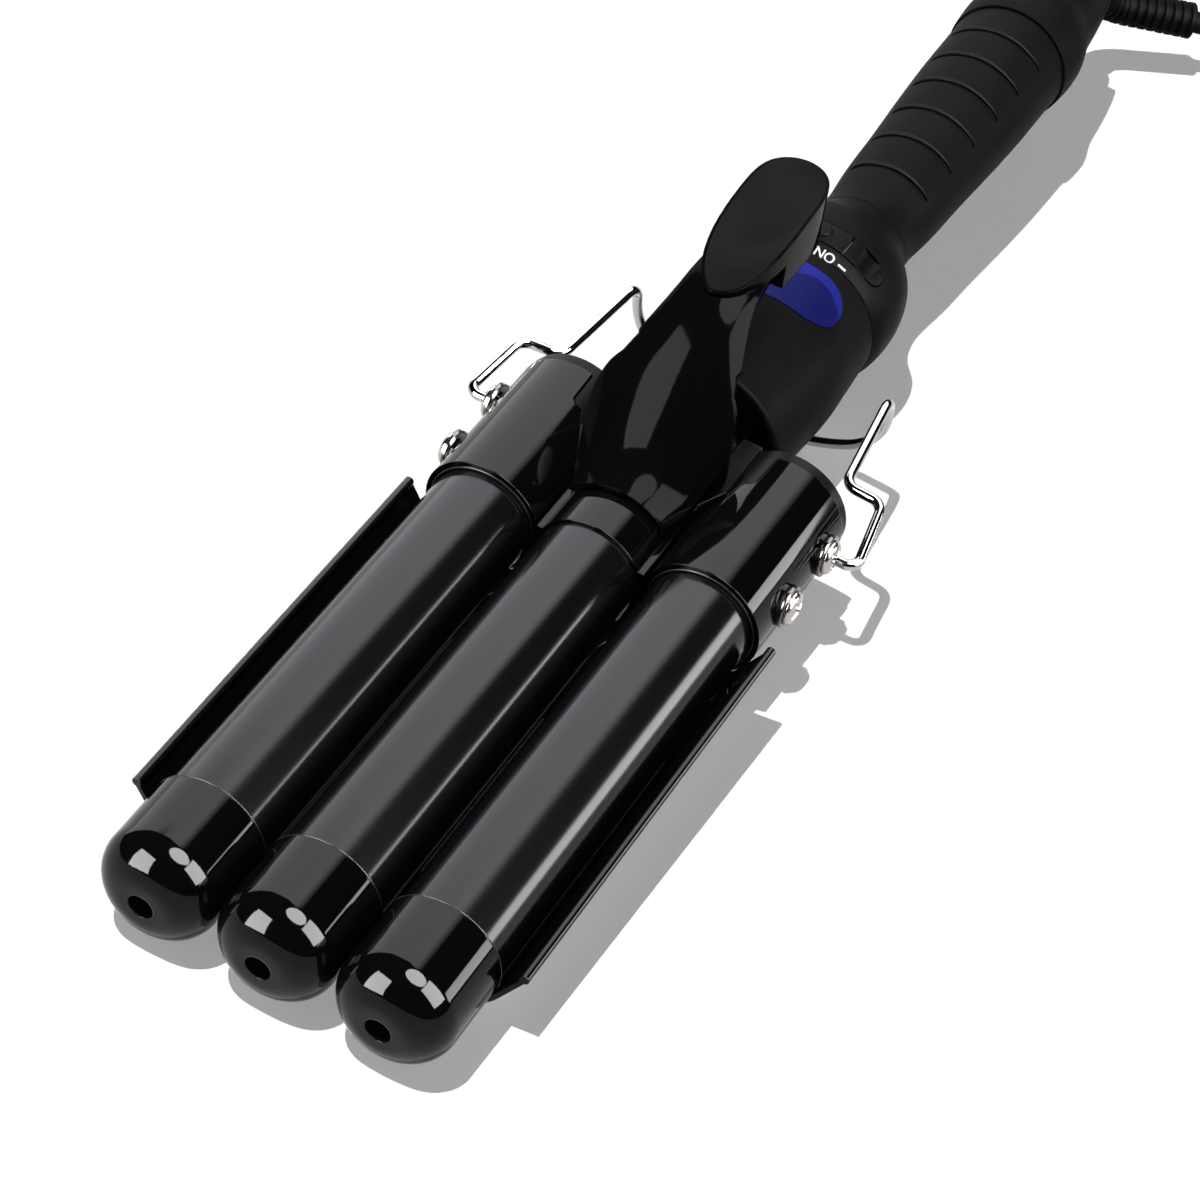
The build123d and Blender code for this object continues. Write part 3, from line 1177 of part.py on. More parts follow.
main()
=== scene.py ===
"""A hair waver with three barrels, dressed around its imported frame."""

import math

import bmesh
import bpy
from mathutils import Matrix, Vector
from mathutils.bvhtree import BVHTree


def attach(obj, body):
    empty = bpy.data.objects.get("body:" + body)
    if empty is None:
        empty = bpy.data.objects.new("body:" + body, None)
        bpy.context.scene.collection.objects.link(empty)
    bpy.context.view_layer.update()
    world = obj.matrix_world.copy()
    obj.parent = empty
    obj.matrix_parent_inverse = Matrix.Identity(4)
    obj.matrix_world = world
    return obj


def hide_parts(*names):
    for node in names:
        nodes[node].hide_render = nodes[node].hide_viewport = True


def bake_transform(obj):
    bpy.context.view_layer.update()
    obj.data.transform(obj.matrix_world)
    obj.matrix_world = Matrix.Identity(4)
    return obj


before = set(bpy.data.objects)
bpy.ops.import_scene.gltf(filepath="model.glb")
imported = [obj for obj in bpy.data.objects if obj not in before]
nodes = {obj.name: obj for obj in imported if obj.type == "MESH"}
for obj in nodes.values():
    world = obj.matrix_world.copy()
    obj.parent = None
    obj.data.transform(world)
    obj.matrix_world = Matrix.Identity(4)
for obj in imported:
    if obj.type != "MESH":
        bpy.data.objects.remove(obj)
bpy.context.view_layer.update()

# The tool is drawn in millimetres in its own frame: barrels along Y, middle barrel's axis at x = z = 0.
MM = 0.001
REST_TILT = math.radians(2.83074)
FLOOR_LIFT = 20.5472
SHIFT_Y = 72.43993
TOOL = (
    Matrix.Translation((0, -SHIFT_Y * MM, FLOOR_LIFT * MM))
    @ Matrix.Rotation(REST_TILT, 4, "X")
    @ Matrix.Scale(MM, 4)
)
TABLE = Matrix.Translation((0, -SHIFT_Y * MM, 0)) @ Matrix.Scale(MM, 4)


def put_in_scene(name, data):
    """Makes an object of a mesh, curve, lamp or camera and links it to the scene."""
    made = bpy.data.objects.new(name, data)
    bpy.context.scene.collection.objects.link(made)
    return made


# ------------------------------------------------------------------ camera


LENS_LENGTH = 108.338
SENSOR_WIDTH = 36.0
CAMERA_PLACE = (220.465, -514.292, 561.649)
CAMERA_RIGHT = (0.86948898, 0.48271396, 0.10476713)
CAMERA_UP = (-0.41247864, 0.59286446, 0.69164521)
CAMERA_BACK = (0.2717541, -0.64459209, 0.71459831)


def aim_camera():
    """Sets the camera at its place over the tool, with its axes given in the tool's own frame."""
    camera = bpy.data.cameras.new("camera")
    camera.lens = LENS_LENGTH
    camera.sensor_width = SENSOR_WIDTH
    camera.clip_start = 0.05
    camera.clip_end = 30
    holder = put_in_scene("camera", camera)
    axes = Matrix((CAMERA_RIGHT, CAMERA_UP, CAMERA_BACK)).transposed()
    turn = Matrix.Rotation(REST_TILT, 3, "X") @ axes
    holder.matrix_world = Matrix.Translation(TOOL @ Vector(CAMERA_PLACE)) @ turn.to_4x4()
    bpy.context.scene.camera = holder


aim_camera()

# ------------------------------------------------------------------ materials


NOISE_LOW = 0.3
NOISE_HIGH = 0.7
CLOUD_DETAIL = 3.0
EDGE_SAMPLES = 6
# The colour sockets of a Mix node, which share their names with its number and vector sockets.
MIX_A = 6
MIX_B = 7
MIX_RESULT = 2


class Finish:
    """A Principled material with its nodes laid on Object coordinates."""

    def __init__(self, name, colour, roughness, metallic=0.0, ior=1.5):
        self.material = bpy.data.materials.new(name)
        self.material.use_nodes = True
        self.tree = self.material.node_tree
        self.shader = self.tree.nodes["Principled BSDF"]
        inputs = self.shader.inputs
        inputs["Base Color"].default_value = (*colour, 1)
        inputs["Roughness"].default_value = roughness
        inputs["Metallic"].default_value = metallic
        inputs["IOR"].default_value = ior
        self.colour = colour
        self.roughness = roughness
        self.place = self.node("ShaderNodeTexCoord").outputs["Object"]
        self.relief = None

    def node(self, kind, **values):
        """Adds a node: each value is a setting of the node or, in lower case, one of its inputs."""
        made = self.tree.nodes.new(kind)
        for key, value in values.items():
            if hasattr(made, key):
                setattr(made, key, value)
            else:
                made.inputs[key.replace("_", " ").title()].default_value = value
        return made

    def join(self, source, target):
        self.tree.links.new(source, target)

    def noise(self, scale, detail=2.0, stretch=(1, 1, 1)):
        spread = self.node("ShaderNodeMapping")
        spread.inputs["Scale"].default_value = stretch
        self.join(self.place, spread.inputs["Vector"])
        grain = self.node("ShaderNodeTexNoise", scale=scale, detail=detail)
        self.join(spread.outputs["Vector"], grain.inputs["Vector"])
        return grain.outputs["Fac"]

    def ranged(self, source, low, high):
        """Spreads the middle of a noise over the range from low to high."""
        span = self.node("ShaderNodeMapRange")
        span.inputs["From Min"].default_value = NOISE_LOW
        span.inputs["From Max"].default_value = NOISE_HIGH
        span.inputs["To Min"].default_value = low
        span.inputs["To Max"].default_value = high
        self.join(source, span.inputs["Value"])
        return span.outputs["Result"]

    def uneven_gloss(self, scale, spread, stretch=(1, 1, 1)):
        low = max(0.0, self.roughness - spread)
        high = self.roughness + spread
        cloudy = self.noise(scale, CLOUD_DETAIL, stretch)
        self.join(self.ranged(cloudy, low, high), self.shader.inputs["Roughness"])
        return self

    def uneven_colour(self, scale, darker, lighter):
        mix = self.node("ShaderNodeMix", data_type="RGBA")
        for socket, share in ((MIX_A, darker), (MIX_B, lighter)):
            mix.inputs[socket].default_value = (*[level * share for level in self.colour], 1)
        self.join(self.ranged(self.noise(scale, CLOUD_DETAIL), 0, 1), mix.inputs["Factor"])
        self.join(mix.outputs[MIX_RESULT], self.shader.inputs["Base Color"])
        return self

    def bump(self, height, depth):
        """Adds a height field, depth in metres for a full step of it."""
        raised = self.node("ShaderNodeBump")
        raised.inputs["Strength"].default_value = 1.0
        raised.inputs["Distance"].default_value = depth
        self.join(height, raised.inputs["Height"])
        if self.relief is not None:
            self.join(self.relief, raised.inputs["Normal"])
        self.relief = raised.outputs["Normal"]
        self.join(self.relief, self.shader.inputs["Normal"])
        return self

    def grain(self, scale, depth, detail=2.0, stretch=(1, 1, 1)):
        return self.bump(self.noise(scale, detail, stretch), depth)

    def soft_edges(self, radius):
        rounded = self.node("ShaderNodeBevel", samples=EDGE_SAMPLES)
        rounded.inputs["Radius"].default_value = radius
        self.relief = rounded.outputs["Normal"]
        self.join(self.relief, self.shader.inputs["Normal"])
        return self

    def done(self):
        return self.material


def black_gloss(name, shine):
    """Moulded gloss plastic; shine is the strength of its mirror."""
    made = Finish(name, (0.0030, 0.0030, 0.0038), 0.05)
    made.shader.inputs["Specular IOR Level"].default_value = shine
    made.soft_edges(0.00035).uneven_gloss(90, 0.015).grain(140, 0.000003, 1.0)
    return made.done()


def crowned_gloss(name, crown_radius):
    """Gloss on a moulding that is crowned across its width by a large radius."""
    made = Finish(name, (0.0035, 0.0035, 0.0042), 0.07)
    made.shader.inputs["Specular IOR Level"].default_value = 0.012
    apart = made.node("ShaderNodeSeparateXYZ")
    made.join(made.place, apart.inputs["Vector"])
    square = made.node("ShaderNodeMath", operation="MULTIPLY")
    made.join(apart.outputs["X"], square.inputs[0])
    made.join(apart.outputs["X"], square.inputs[1])
    fall = made.node("ShaderNodeMath", operation="MULTIPLY")
    fall.inputs[1].default_value = -0.5 / crown_radius
    made.join(square.outputs[0], fall.inputs[0])
    made.soft_edges(0.0005).bump(fall.outputs[0], 1.0)
    made.uneven_gloss(90, 0.015).grain(140, 0.000003, 1.0)
    return made.done()


PAD_MIDDLE = (0.0, 73.0, 53.0)
PAD_REACH = (0.0125, 0.022, 0.02)
PAD_SLOPE_END = 0.55
PAD_HOLLOW = 0.0011


def dished_pad(name, colour, roughness, shine):
    """Matte inlay with a thumb's hollow in it."""
    made = Finish(name, colour, roughness, ior=1.42)
    made.shader.inputs["Specular IOR Level"].default_value = shine
    hollow = made.node("ShaderNodeMapping", vector_type="TEXTURE")
    hollow.inputs["Location"].default_value = TOOL @ Vector(PAD_MIDDLE)
    hollow.inputs["Scale"].default_value = PAD_REACH
    made.join(made.place, hollow.inputs["Vector"])
    bowl = made.node("ShaderNodeTexGradient", gradient_type="SPHERICAL")
    made.join(hollow.outputs["Vector"], bowl.inputs["Vector"])
    deep = made.node("ShaderNodeMapRange", interpolation_type="SMOOTHERSTEP")
    deep.inputs["From Min"].default_value = 0.0
    deep.inputs["From Max"].default_value = PAD_SLOPE_END
    deep.inputs["To Min"].default_value = 0.0
    deep.inputs["To Max"].default_value = -1.0
    made.join(bowl.outputs["Fac"], deep.inputs["Value"])
    made.soft_edges(0.0004).bump(deep.outputs["Result"], PAD_HOLLOW)
    return made.uneven_colour(45, 0.88, 1.12).uneven_gloss(120, 0.04).grain(2600, 0.000008).done()


def window_blue():
    """The display's dark window, tinted through."""
    made = Finish("window blue", (0.016, 0.0235, 0.285), 0.42)
    made.shader.inputs["Specular IOR Level"].default_value = 0.02
    return made.uneven_colour(60, 0.97, 1.03).uneven_gloss(200, 0.03).grain(500, 0.000001).done()


def barrel_coat():
    """Satin coating, its unevenness drawn out along the barrels."""
    made = Finish("barrel coating", (0.0038, 0.0038, 0.0054), 0.16)
    made.shader.inputs["Specular IOR Level"].default_value = 0.21
    made.soft_edges(0.0003).uneven_gloss(60, 0.02, (1, 0.15, 1))
    made.grain(900, 0.0000012, 2.0, (1, 0.25, 1))
    return made.done()


def black_matte(name, colour=(0.0068, 0.0068, 0.0076), roughness=0.5, shine=0.02):
    """Matte moulded plastic with a fine grain."""
    made = Finish(name, colour, roughness, ior=1.42)
    made.shader.inputs["Specular IOR Level"].default_value = shine
    made.soft_edges(0.0004).uneven_colour(45, 0.88, 1.12).uneven_gloss(120, 0.04).grain(2600, 0.000008)
    return made.done()


def bright_metal(name, colour, roughness, streak=(1, 1, 1)):
    """Bare or plated metal, brushed along streak."""
    made = Finish(name, colour, roughness, metallic=1.0)
    made.soft_edges(0.00015).uneven_gloss(400, roughness * 0.45, streak).uneven_colour(250, 0.9, 1.0)
    made.grain(1200, 0.0000015, 3.0, streak)
    return made.done()


def plain_finish(name, colour, roughness, scale, darker, lighter):
    """Finish whose colour is slightly uneven."""
    return Finish(name, colour, roughness).uneven_colour(scale, darker, lighter)


FINISHES = {
    "barrel coating": barrel_coat(),
    "cap gloss": black_gloss("cap gloss", 0.145),
    "sleeve gloss": black_gloss("sleeve gloss", 0.135),
    "lever gloss": crowned_gloss("lever gloss", 0.060),
    "guard gloss": black_gloss("guard gloss", 0.21),
    "yoke plastic": black_matte("yoke plastic", (0.005, 0.005, 0.0058), 0.32, 0.08),
    "pad plastic": dished_pad("pad plastic", (0.0075, 0.0075, 0.0082), 0.42, 0.022),
    "handle plastic": black_matte("handle plastic"),
    "ridge plastic": black_matte("ridge plastic", (0.0095, 0.0095, 0.010), 0.42, 0.05),
    "collar plastic": black_matte("collar plastic", (0.0066, 0.0066, 0.0074), 0.46),
    "button plastic": black_matte("button plastic", (0.005, 0.005, 0.0056), 0.34, 0.035),
    "cord rubber": black_matte("cord rubber", (0.005, 0.005, 0.0055), 0.5),
    "stand chrome": bright_metal("stand chrome", (0.47, 0.47, 0.48), 0.08),
    "screw nickel": bright_metal("screw nickel", (0.47, 0.44, 0.39), 0.17),
    "black washer": bright_metal("black washer", (0.13, 0.127, 0.12), 0.2),
    "steel": bright_metal("steel", (0.36, 0.36, 0.37), 0.3, (1, 6, 1)),
    "spring steel": bright_metal("spring steel", (0.32, 0.32, 0.33), 0.28),
    "spreader alloy": bright_metal("spreader alloy", (0.42, 0.42, 0.43), 0.35, (1, 0.05, 1)),
    "blade metal": bright_metal("blade metal", (0.44, 0.42, 0.38), 0.25),
    "window blue": window_blue(),
    "heater ceramic": plain_finish("heater ceramic", (0.78, 0.74, 0.68), 0.7, 300, 0.9, 1.05)
    .grain(1500, 0.00002)
    .done(),
    "board green": plain_finish("board green", (0.02, 0.12, 0.04), 0.35, 400, 0.7, 1.2).done(),
    "seam bead": black_matte("seam bead", (0.02, 0.02, 0.022), 0.22, 0.4),
    "lip satin": black_matte("lip satin", (0.007, 0.007, 0.008), 0.3, 0.3),
    "mark white": plain_finish("mark white", (0.82, 0.82, 0.82), 0.5, 900, 0.92, 1.0).done(),
    "part grey": plain_finish("part grey", (0.1, 0.1, 0.11), 0.45, 300, 0.8, 1.1).done(),
    "lead silicone": plain_finish("lead silicone", (0.6, 0.58, 0.54), 0.5, 200, 0.9, 1.0).done(),
}

WEARS = {
    "barrel coating": ("barrel_left", "barrel_middle", "barrel_right"),
    "cap gloss": ("cap_left", "cap_middle", "cap_right"),
    "sleeve gloss": ("middle_sleeve", "outer_sleeve_left", "outer_sleeve_right"),
    "lever gloss": ("thumb_lever",),
    "guard gloss": ("guard_plate",),
    "yoke plastic": ("yoke", "swivel_ball"),
    "pad plastic": ("thumb_pad",),
    "handle plastic": ("drum_shell", "grip_shell", "tail_shell"),
    "collar plastic": ("control_collar",),
    "button plastic": ("button_plus", "button_power", "button_minus"),
    "cord rubber": ("strain_relief", "power_cord", "cord_coil", "plug_lead", "plug_body"),
    "stand chrome": ("wire_stand",),
    "screw nickel": ("front_side_screws", "pivot_bushes"),
    "black washer": ("screw_washers",),
    "steel": (
        "guard_screws",
        "guard_spacers",
        "drum_screw",
        "hinge_pin",
        "temperature_sensor",
        "thermal_fuse",
    ),
    "spring steel": ("hinge_spring",),
    "spreader alloy": ("heat_spreader_left", "heat_spreader_middle", "heat_spreader_right"),
    "heater ceramic": (
        "ceramic_heater_left",
        "ceramic_heater_middle",
        "ceramic_heater_right",
        "middle_core",
    ),
    "window blue": ("display_window",),
    "part grey": ("display_module", "tact_switches", "switch_carrier", "board_parts"),
    "board green": ("control_board",),
    "lead silicone": ("middle_leads", "outer_leads", "mains_leads"),
    "blade metal": ("plug_blades",),
}

for finish_name, members in WEARS.items():
    for node_name in members:
        mesh = nodes[node_name].data
        mesh.materials.clear()
        mesh.materials.append(FINISHES[finish_name])

# ------------------------------------------------------------------ cord

CORD_DIAMETER = 6.0
COIL_CENTRE = (118.0, 272.0)
# Radius and height of each turn of the coil, in the order in which the cord lays them.
COIL_ROWS = (
    (39.0, 3.1),
    (39.0, 9.2),
    (33.0, 9.2),
    (33.0, 3.1),
    (27.0, 3.1),
    (27.0, 9.2),
    (27.0, 15.0),
    (33.0, 15.0),
    (38.8, 14.9),
)
COIL_TURNS = 8.2
COIL_STEPS = 14
COIL_START = math.radians(84)
# The cord changes row in the last quarter of each turn.
ROW_CHANGE_PACE = 4
RELIEF_END = (26.2, 298.4, -20.6)
CORD_LEAD_IN = ((48.0, 311.6, 9.8), (74.0, 316.0, 4.4), (98.0, 313.2, 3.2), (113.0, 311.8, 3.1))
CORD_LEAD_OUT = (
    (156.4, 262.5, 13.4),
    (154.8, 245.0, 9.2),
    (149.0, 225.0, 4.4),
    (143.0, 207.0, 5.6),
    (140.0, 192.0, 8.6),
    (139.5, 180.0, 9.5),
)


def cord_points():
    """Points of the cord in metres: down from the relief, round the coil clockwise, and on to the plug."""
    points = [TOOL @ Vector(RELIEF_END)]
    for place in CORD_LEAD_IN:
        points.append(TABLE @ Vector(place))
    for step in range(1, int(COIL_TURNS * COIL_STEPS) + 1):
        turn = step / COIL_STEPS
        row = min(int(turn), len(COIL_ROWS) - 1)
        after = min(row + 1, len(COIL_ROWS) - 1)
        share = max(0.0, (turn - row) * ROW_CHANGE_PACE - (ROW_CHANGE_PACE - 1))
        radius = COIL_ROWS[row][0] * (1 - share) + COIL_ROWS[after][0] * share
        height = COIL_ROWS[row][1] * (1 - share) + COIL_ROWS[after][1] * share
        angle = COIL_START - math.tau * turn
        x = COIL_CENTRE[0] + radius * math.cos(angle)
        y = COIL_CENTRE[1] + radius * math.sin(angle)
        points.append(TABLE @ Vector((x, y, height)))
    for place in CORD_LEAD_OUT:
        points.append(TABLE @ Vector(place))
    return points


def curve_length(curve):
    """Length of a curve's centre line in metres."""
    line = curve.copy()
    line.bevel_depth = 0
    probe = put_in_scene("probe", line)
    flat = bpy.data.meshes.new_from_object(probe)
    places = [vert.co for vert in flat.vertices]
    length = sum((after - before).length for before, after in zip(places, places[1:]))
    bpy.data.objects.remove(probe)
    bpy.data.meshes.remove(flat)
    return length


def lay_cord():
    """The mains cord, in place of the plain ring and the straight runs of the solids."""
    curve = bpy.data.curves.new("mains_cord", "CURVE")
    curve.dimensions = "3D"
    spline = curve.splines.new("NURBS")
    points = cord_points()
    spline.points.add(len(points) - 1)
    for point, place in zip(spline.points, points):
        point.co = (*place, 1)
    spline.order_u = 3
    spline.use_endpoint_u = True
    spline.resolution_u = 6
    curve.bevel_depth = CORD_DIAMETER / 2 * MM
    curve.bevel_resolution = 5
    curve.use_fill_caps = True
    curve.materials.append(FINISHES["cord rubber"])
    cord = put_in_scene("mains_cord", curve)
    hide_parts("power_cord", "cord_coil", "plug_lead")
    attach(cord, "handle")
    curve_length(curve)


lay_cord()

# ------------------------------------------------------------------ turned and repeated pieces


def turned_ring(shape, profile, centre, axis, segments):
    """Adds a closed ring to shape: profile points (along, radius) turned about an axis through centre."""
    rows = []
    for step in range(segments):
        angle = math.tau * step / segments
        row = []
        for along, radius in profile:
            across = radius * math.cos(angle)
            up = radius * math.sin(angle)
            place = (across, along, up) if axis == "Y" else (along, across, up)
            row.append(shape.verts.new(Vector(centre) + Vector(place)))
        rows.append(row)
    count = len(profile)
    for step in range(segments):
        here, there = rows[step], rows[(step + 1) % segments]
        for at in range(count):
            after = (at + 1) % count
            shape.faces.new((here[at], here[after], there[after], there[at]))


def plain_mesh(name, shape):
    """Turns a bmesh into a mesh whose faces point outwards."""
    bmesh.ops.recalc_face_normals(shape, faces=shape.faces)
    mesh = bpy.data.meshes.new(name)
    shape.to_mesh(mesh)
    shape.free()
    return mesh


def piece(name, shape, finish, body, replaced=()):
    """Turns a bmesh drawn in tool millimetres into a finished piece that rides on a body."""
    for face in shape.faces:
        face.smooth = True
    mesh = plain_mesh(name, shape)
    mesh.transform(TOOL)
    mesh.materials.append(FINISHES[finish])
    made = put_in_scene(name, mesh)
    if replaced:
        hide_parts(*replaced)
    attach(made, body)


BARREL_X = 27.5
SCREW_X = 42.9
SCREW_YS = (12.7, 31.6)
SCREW_Z = 1.8
RING_SEGMENTS = 128
# Profiles as (along, radius), in order round the section.
LIP = (
    (2.4, 12.55),
    (0.25, 12.55),
    (-0.02, 12.62),
    (-0.18, 12.8),
    (-0.2, 13.05),
    (-0.1, 13.25),
    (2.4, 13.25),
)
CAP_SEAM_Y = -109.05
BEAD_CENTRE_RADIUS = 13.24
BEAD_RADIUS = 0.2
BEAD_SIDES = 10


def sleeve_lips():
    """Thin rolled lips that close the mouths of the outer sleeves round their barrels."""
    shape = bmesh.new()
    for side in (-1, 1):
        turned_ring(shape, LIP, (side * BARREL_X, 0, 0), "Y", RING_SEGMENTS)
    piece("outer_sleeve_lips", shape, "lip satin", "upper_jaw")


def cap_beads(body, sides, name):
    """Fine bead where each end cap meets its barrel."""
    bead = []
    for corner in range(BEAD_SIDES):
        angle = math.tau * corner / BEAD_SIDES
        along = CAP_SEAM_Y + BEAD_RADIUS * math.cos(angle)
        bead.append((along, BEAD_CENTRE_RADIUS + BEAD_RADIUS * math.sin(angle)))
    shape = bmesh.new()
    for side in sides:
        turned_ring(shape, bead, (side * BARREL_X, 0, 0), "Y", RING_SEGMENTS)
    piece(name, shape, "seam bead", body)


HEAD_SIDES = 72
# The head's side, as (height, radius), up to the foot of its crown.
HEAD_RIM = ((0.0, 3.75), (0.25, 3.98), (0.7, 4.0), (1.15, 3.86), (1.55, 3.5), (1.82, 3.0))
CROWN_RISE = 0.4
CROWN_RINGS = 20
LEAST_SEAT_RADIUS = 0.4
CROSS_REACH = 2.45
CROSS_END_SLOPE = 0.3
CROSS_HALF_WIDTH = 0.62
CROSS_SIDE_SLOPE = 0.16
CROSS_DEPTH = 1.0
CROSS_MIDDLE_RADIUS = 0.9
CROSS_MIDDLE_DEPTH = 1.15
SCREW_BORE = 0.25
PIVOT_BORE = 1.3
SCREW_SPIN = 27
PIVOT_SPIN = 52
WASHER = (
    (-1.4, 3.6),
    (-1.4, 4.92),
    (0.05, 4.98),
    (0.18, 4.92),
    (0.26, 4.7),
    (0.27, 4.2),
    (0.2, 4.06),
    (0.0, 4.02),
    (0.0, 3.6),
)


def cross_depth(y, z, radius):
    """Depth of the cross recess at a place on a head's crown."""
    if radius >= CROSS_REACH:
        return 0.0
    side = min(1.0, max(0.0, (CROSS_HALF_WIDTH - min(abs(y), abs(z))) / CROSS_SIDE_SLOPE))
    end = min(1.0, (CROSS_REACH - radius) / CROSS_END_SLOPE)
    return side * end * (CROSS_DEPTH if radius > CROSS_MIDDLE_RADIUS else CROSS_MIDDLE_DEPTH)


def pan_head(bore):
    """A pan-head screw's head about the X axis, seated at x = 0, with a cross recess."""
    foot, crown_radius = HEAD_RIM[-1]
    rings = list(HEAD_RIM)
    for ring in range(1, CROWN_RINGS + 1):
        radius = crown_radius - (crown_radius - bore) * ring / CROWN_RINGS
        rings.append((foot + CROWN_RISE * (1 - (radius / crown_radius) ** 2), radius))
    angles = [math.tau * corner / HEAD_SIDES for corner in range(HEAD_SIDES)]
    shape = bmesh.new()
    rows = []
    for x, radius in rings:
        row = []
        for angle in angles:
            y = radius * math.cos(angle)
            z = radius * math.sin(angle)
            row.append(shape.verts.new((x - cross_depth(y, z, radius), y, z)))
        rows.append(row)
    for low, high in zip(rows, rows[1:]):
        for at in range(HEAD_SIDES):
            after = (at + 1) % HEAD_SIDES
            shape.faces.new((low[at], low[after], high[after], high[at]))
    seat_radius = max(bore, LEAST_SEAT_RADIUS)
    seat = []
    for angle in angles:
        seat.append(shape.verts.new((0.0, seat_radius * math.cos(angle), seat_radius * math.sin(angle))))
    for at in range(HEAD_SIDES):
        after = (at + 1) % HEAD_SIDES
        shape.faces.new((rows[0][after], rows[0][at], seat[at], seat[after]))
        shape.faces.new((rows[-1][at], rows[-1][after], seat[after], seat[at]))
    return plain_mesh("pan_head", shape)


def washer_disc():
    """A washer about the X axis, with a raised and rounded face."""
    shape = bmesh.new()
    turned_ring(shape, WASHER, (0, 0, 0), "X", HEAD_SIDES)
    return plain_mesh("washer_disc", shape)


def fastener_tree(finish):
    """Geometry Nodes: one fastener on each marked place, turned to face outwards."""
    tree = bpy.data.node_groups.new("fasteners", "GeometryNodeTree")
    tree.interface.new_socket("Places", in_out="INPUT", socket_type="NodeSocketGeometry")
    tree.interface.new_socket("Fastener", in_out="INPUT", socket_type="NodeSocketObject")
    size = tree.interface.new_socket("Size", in_out="INPUT", socket_type="NodeSocketFloat")
    size.default_value = 1.0
    tree.interface.new_socket("Fasteners", in_out="OUTPUT", socket_type="NodeSocketGeometry")
    start = tree.nodes.new("NodeGroupInput")
    end = tree.nodes.new("NodeGroupOutput")
    shown = tree.nodes.new("GeometryNodeObjectInfo")
    facing = tree.nodes.new("GeometryNodeInputNamedAttribute")
    facing.data_type = "FLOAT_VECTOR"
    facing.inputs["Name"].default_value = "facing"
    turn = tree.nodes.new("FunctionNodeEulerToRotation")
    place = tree.nodes.new("GeometryNodeInstanceOnPoints")
    real = tree.nodes.new("GeometryNodeRealizeInstances")
    coat = tree.nodes.new("GeometryNodeSetMaterial")
    coat.inputs["Material"].default_value = finish
    link = tree.links.new
    link(start.outputs["Places"], place.inputs["Points"])
    link(start.outputs["Fastener"], shown.inputs["Object"])
    link(shown.outputs["Geometry"], place.inputs["Instance"])
    link(facing.outputs["Attribute"], turn.inputs["Euler"])
    link(turn.outputs["Rotation"], place.inputs["Rotation"])
    link(start.outputs["Size"], place.inputs["Scale"])
    link(place.outputs["Instances"], real.inputs["Geometry"])
    link(real.outputs["Geometry"], coat.inputs["Geometry"])
    link(coat.outputs["Geometry"], end.inputs["Fasteners"])
    return tree


def fasteners(name, mesh, places, finish, body, replaced):
    """Repeats a fastener over places, each (x, y, z, spin), and makes it one plain piece."""
    points = bpy.data.meshes.new(name + "_places")
    points.from_pydata([place[:3] for place in places], [], [])
    turn = points.attributes.new("facing", "FLOAT_VECTOR", "POINT")
    for at, (x, y, z, spin) in enumerate(places):
        turn.data[at].vector = (math.radians(spin), 0.0, 0.0 if x > 0 else math.pi)
    master = put_in_scene(name + "_master", mesh)
    carrier = put_in_scene(name + "_carrier", points)
    tree = fastener_tree(FINISHES[finish])
    modifier = carrier.modifiers.new("fasteners", "NODES")
    modifier.node_group = tree
    sockets = {item.name: item.identifier for item in tree.interface.items_tree if item.in_out == "INPUT"}
    modifier[sockets["Fastener"]] = master
    modifier[sockets["Size"]] = 1.0
    bpy.context.view_layer.update()
    seen = carrier.evaluated_get(bpy.context.evaluated_depsgraph_get())
    baked = bpy.data.meshes.new_from_object(seen)
    shape = bmesh.new()
    shape.from_mesh(baked)
    carrier.modifiers.clear()
    for each in (carrier, master):
        bpy.data.objects.remove(each)
    bpy.data.meshes.remove(baked)
    piece(name, shape, finish, body, replaced)


def side_fasteners():
    """Screws in front, the stand's pivots behind them, and a washer under each."""
    front, rear = SCREW_YS
    screws = [(side * SCREW_X, front, SCREW_Z, SCREW_SPIN * side) for side in (-1, 1)]
    pivots = [(side * SCREW_X, rear, SCREW_Z, PIVOT_SPIN * side) for side in (-1, 1)]
    washers = [(side * SCREW_X, y, SCREW_Z, 0) for side in (-1, 1) for y in SCREW_YS]
    head = pan_head(SCREW_BORE)
    fasteners("side_screws", head, screws, "screw nickel", "upper_jaw", ("front_side_screws",))
    head = pan_head(PIVOT_BORE)
    fasteners("stand_pivots", head, pivots, "screw nickel", "upper_jaw", ("pivot_bushes",))
    head = washer_disc()
    replaced = ("screw_washers",)
    fasteners("washer_stack", head, washers, "black washer", "upper_jaw", replaced)


RAY_START = 40.0
# Each mark: its sign, its place round the collar and the height of its capitals.
SWITCH_MARKS = (("ON/OFF", 0.1, 2.4), ("\u2212", 8.5, 3.2), ("+", -8.5, 3.2))
MARKS_Y = 102.75
MARK_BOLDNESS = 0.05
MARK_LIFT = 0.05
CAPITAL_SHARE = 0.72
COLLAR_RADIUS = 20.0
LEAST_COLLAR_RADIUS = 19.8


def skin_finder(*names):
    """Returns a function that gives the skin's radius at (angle, y), in tool millimetres."""
    trees = []
    for name in names:
        mesh = nodes[name].data
        corners = [vert.co for vert in mesh.vertices]
        trees.append(BVHTree.FromPolygons(corners, [face.vertices for face in mesh.polygons]))
    turn = TOOL.to_3x3().normalized()

    def radius(angle, y):
        outward = Vector((math.sin(angle), 0, math.cos(angle)))
        start = TOOL @ (outward * RAY_START + Vector((0, y, 0)))
        hits = [tree.ray_cast(start, -(turn @ outward)) for tree in trees]
        reach = [RAY_START - hit[3] / MM for hit in hits if hit[3] is not None]
        return max(reach) if reach else 0.0

    return radius


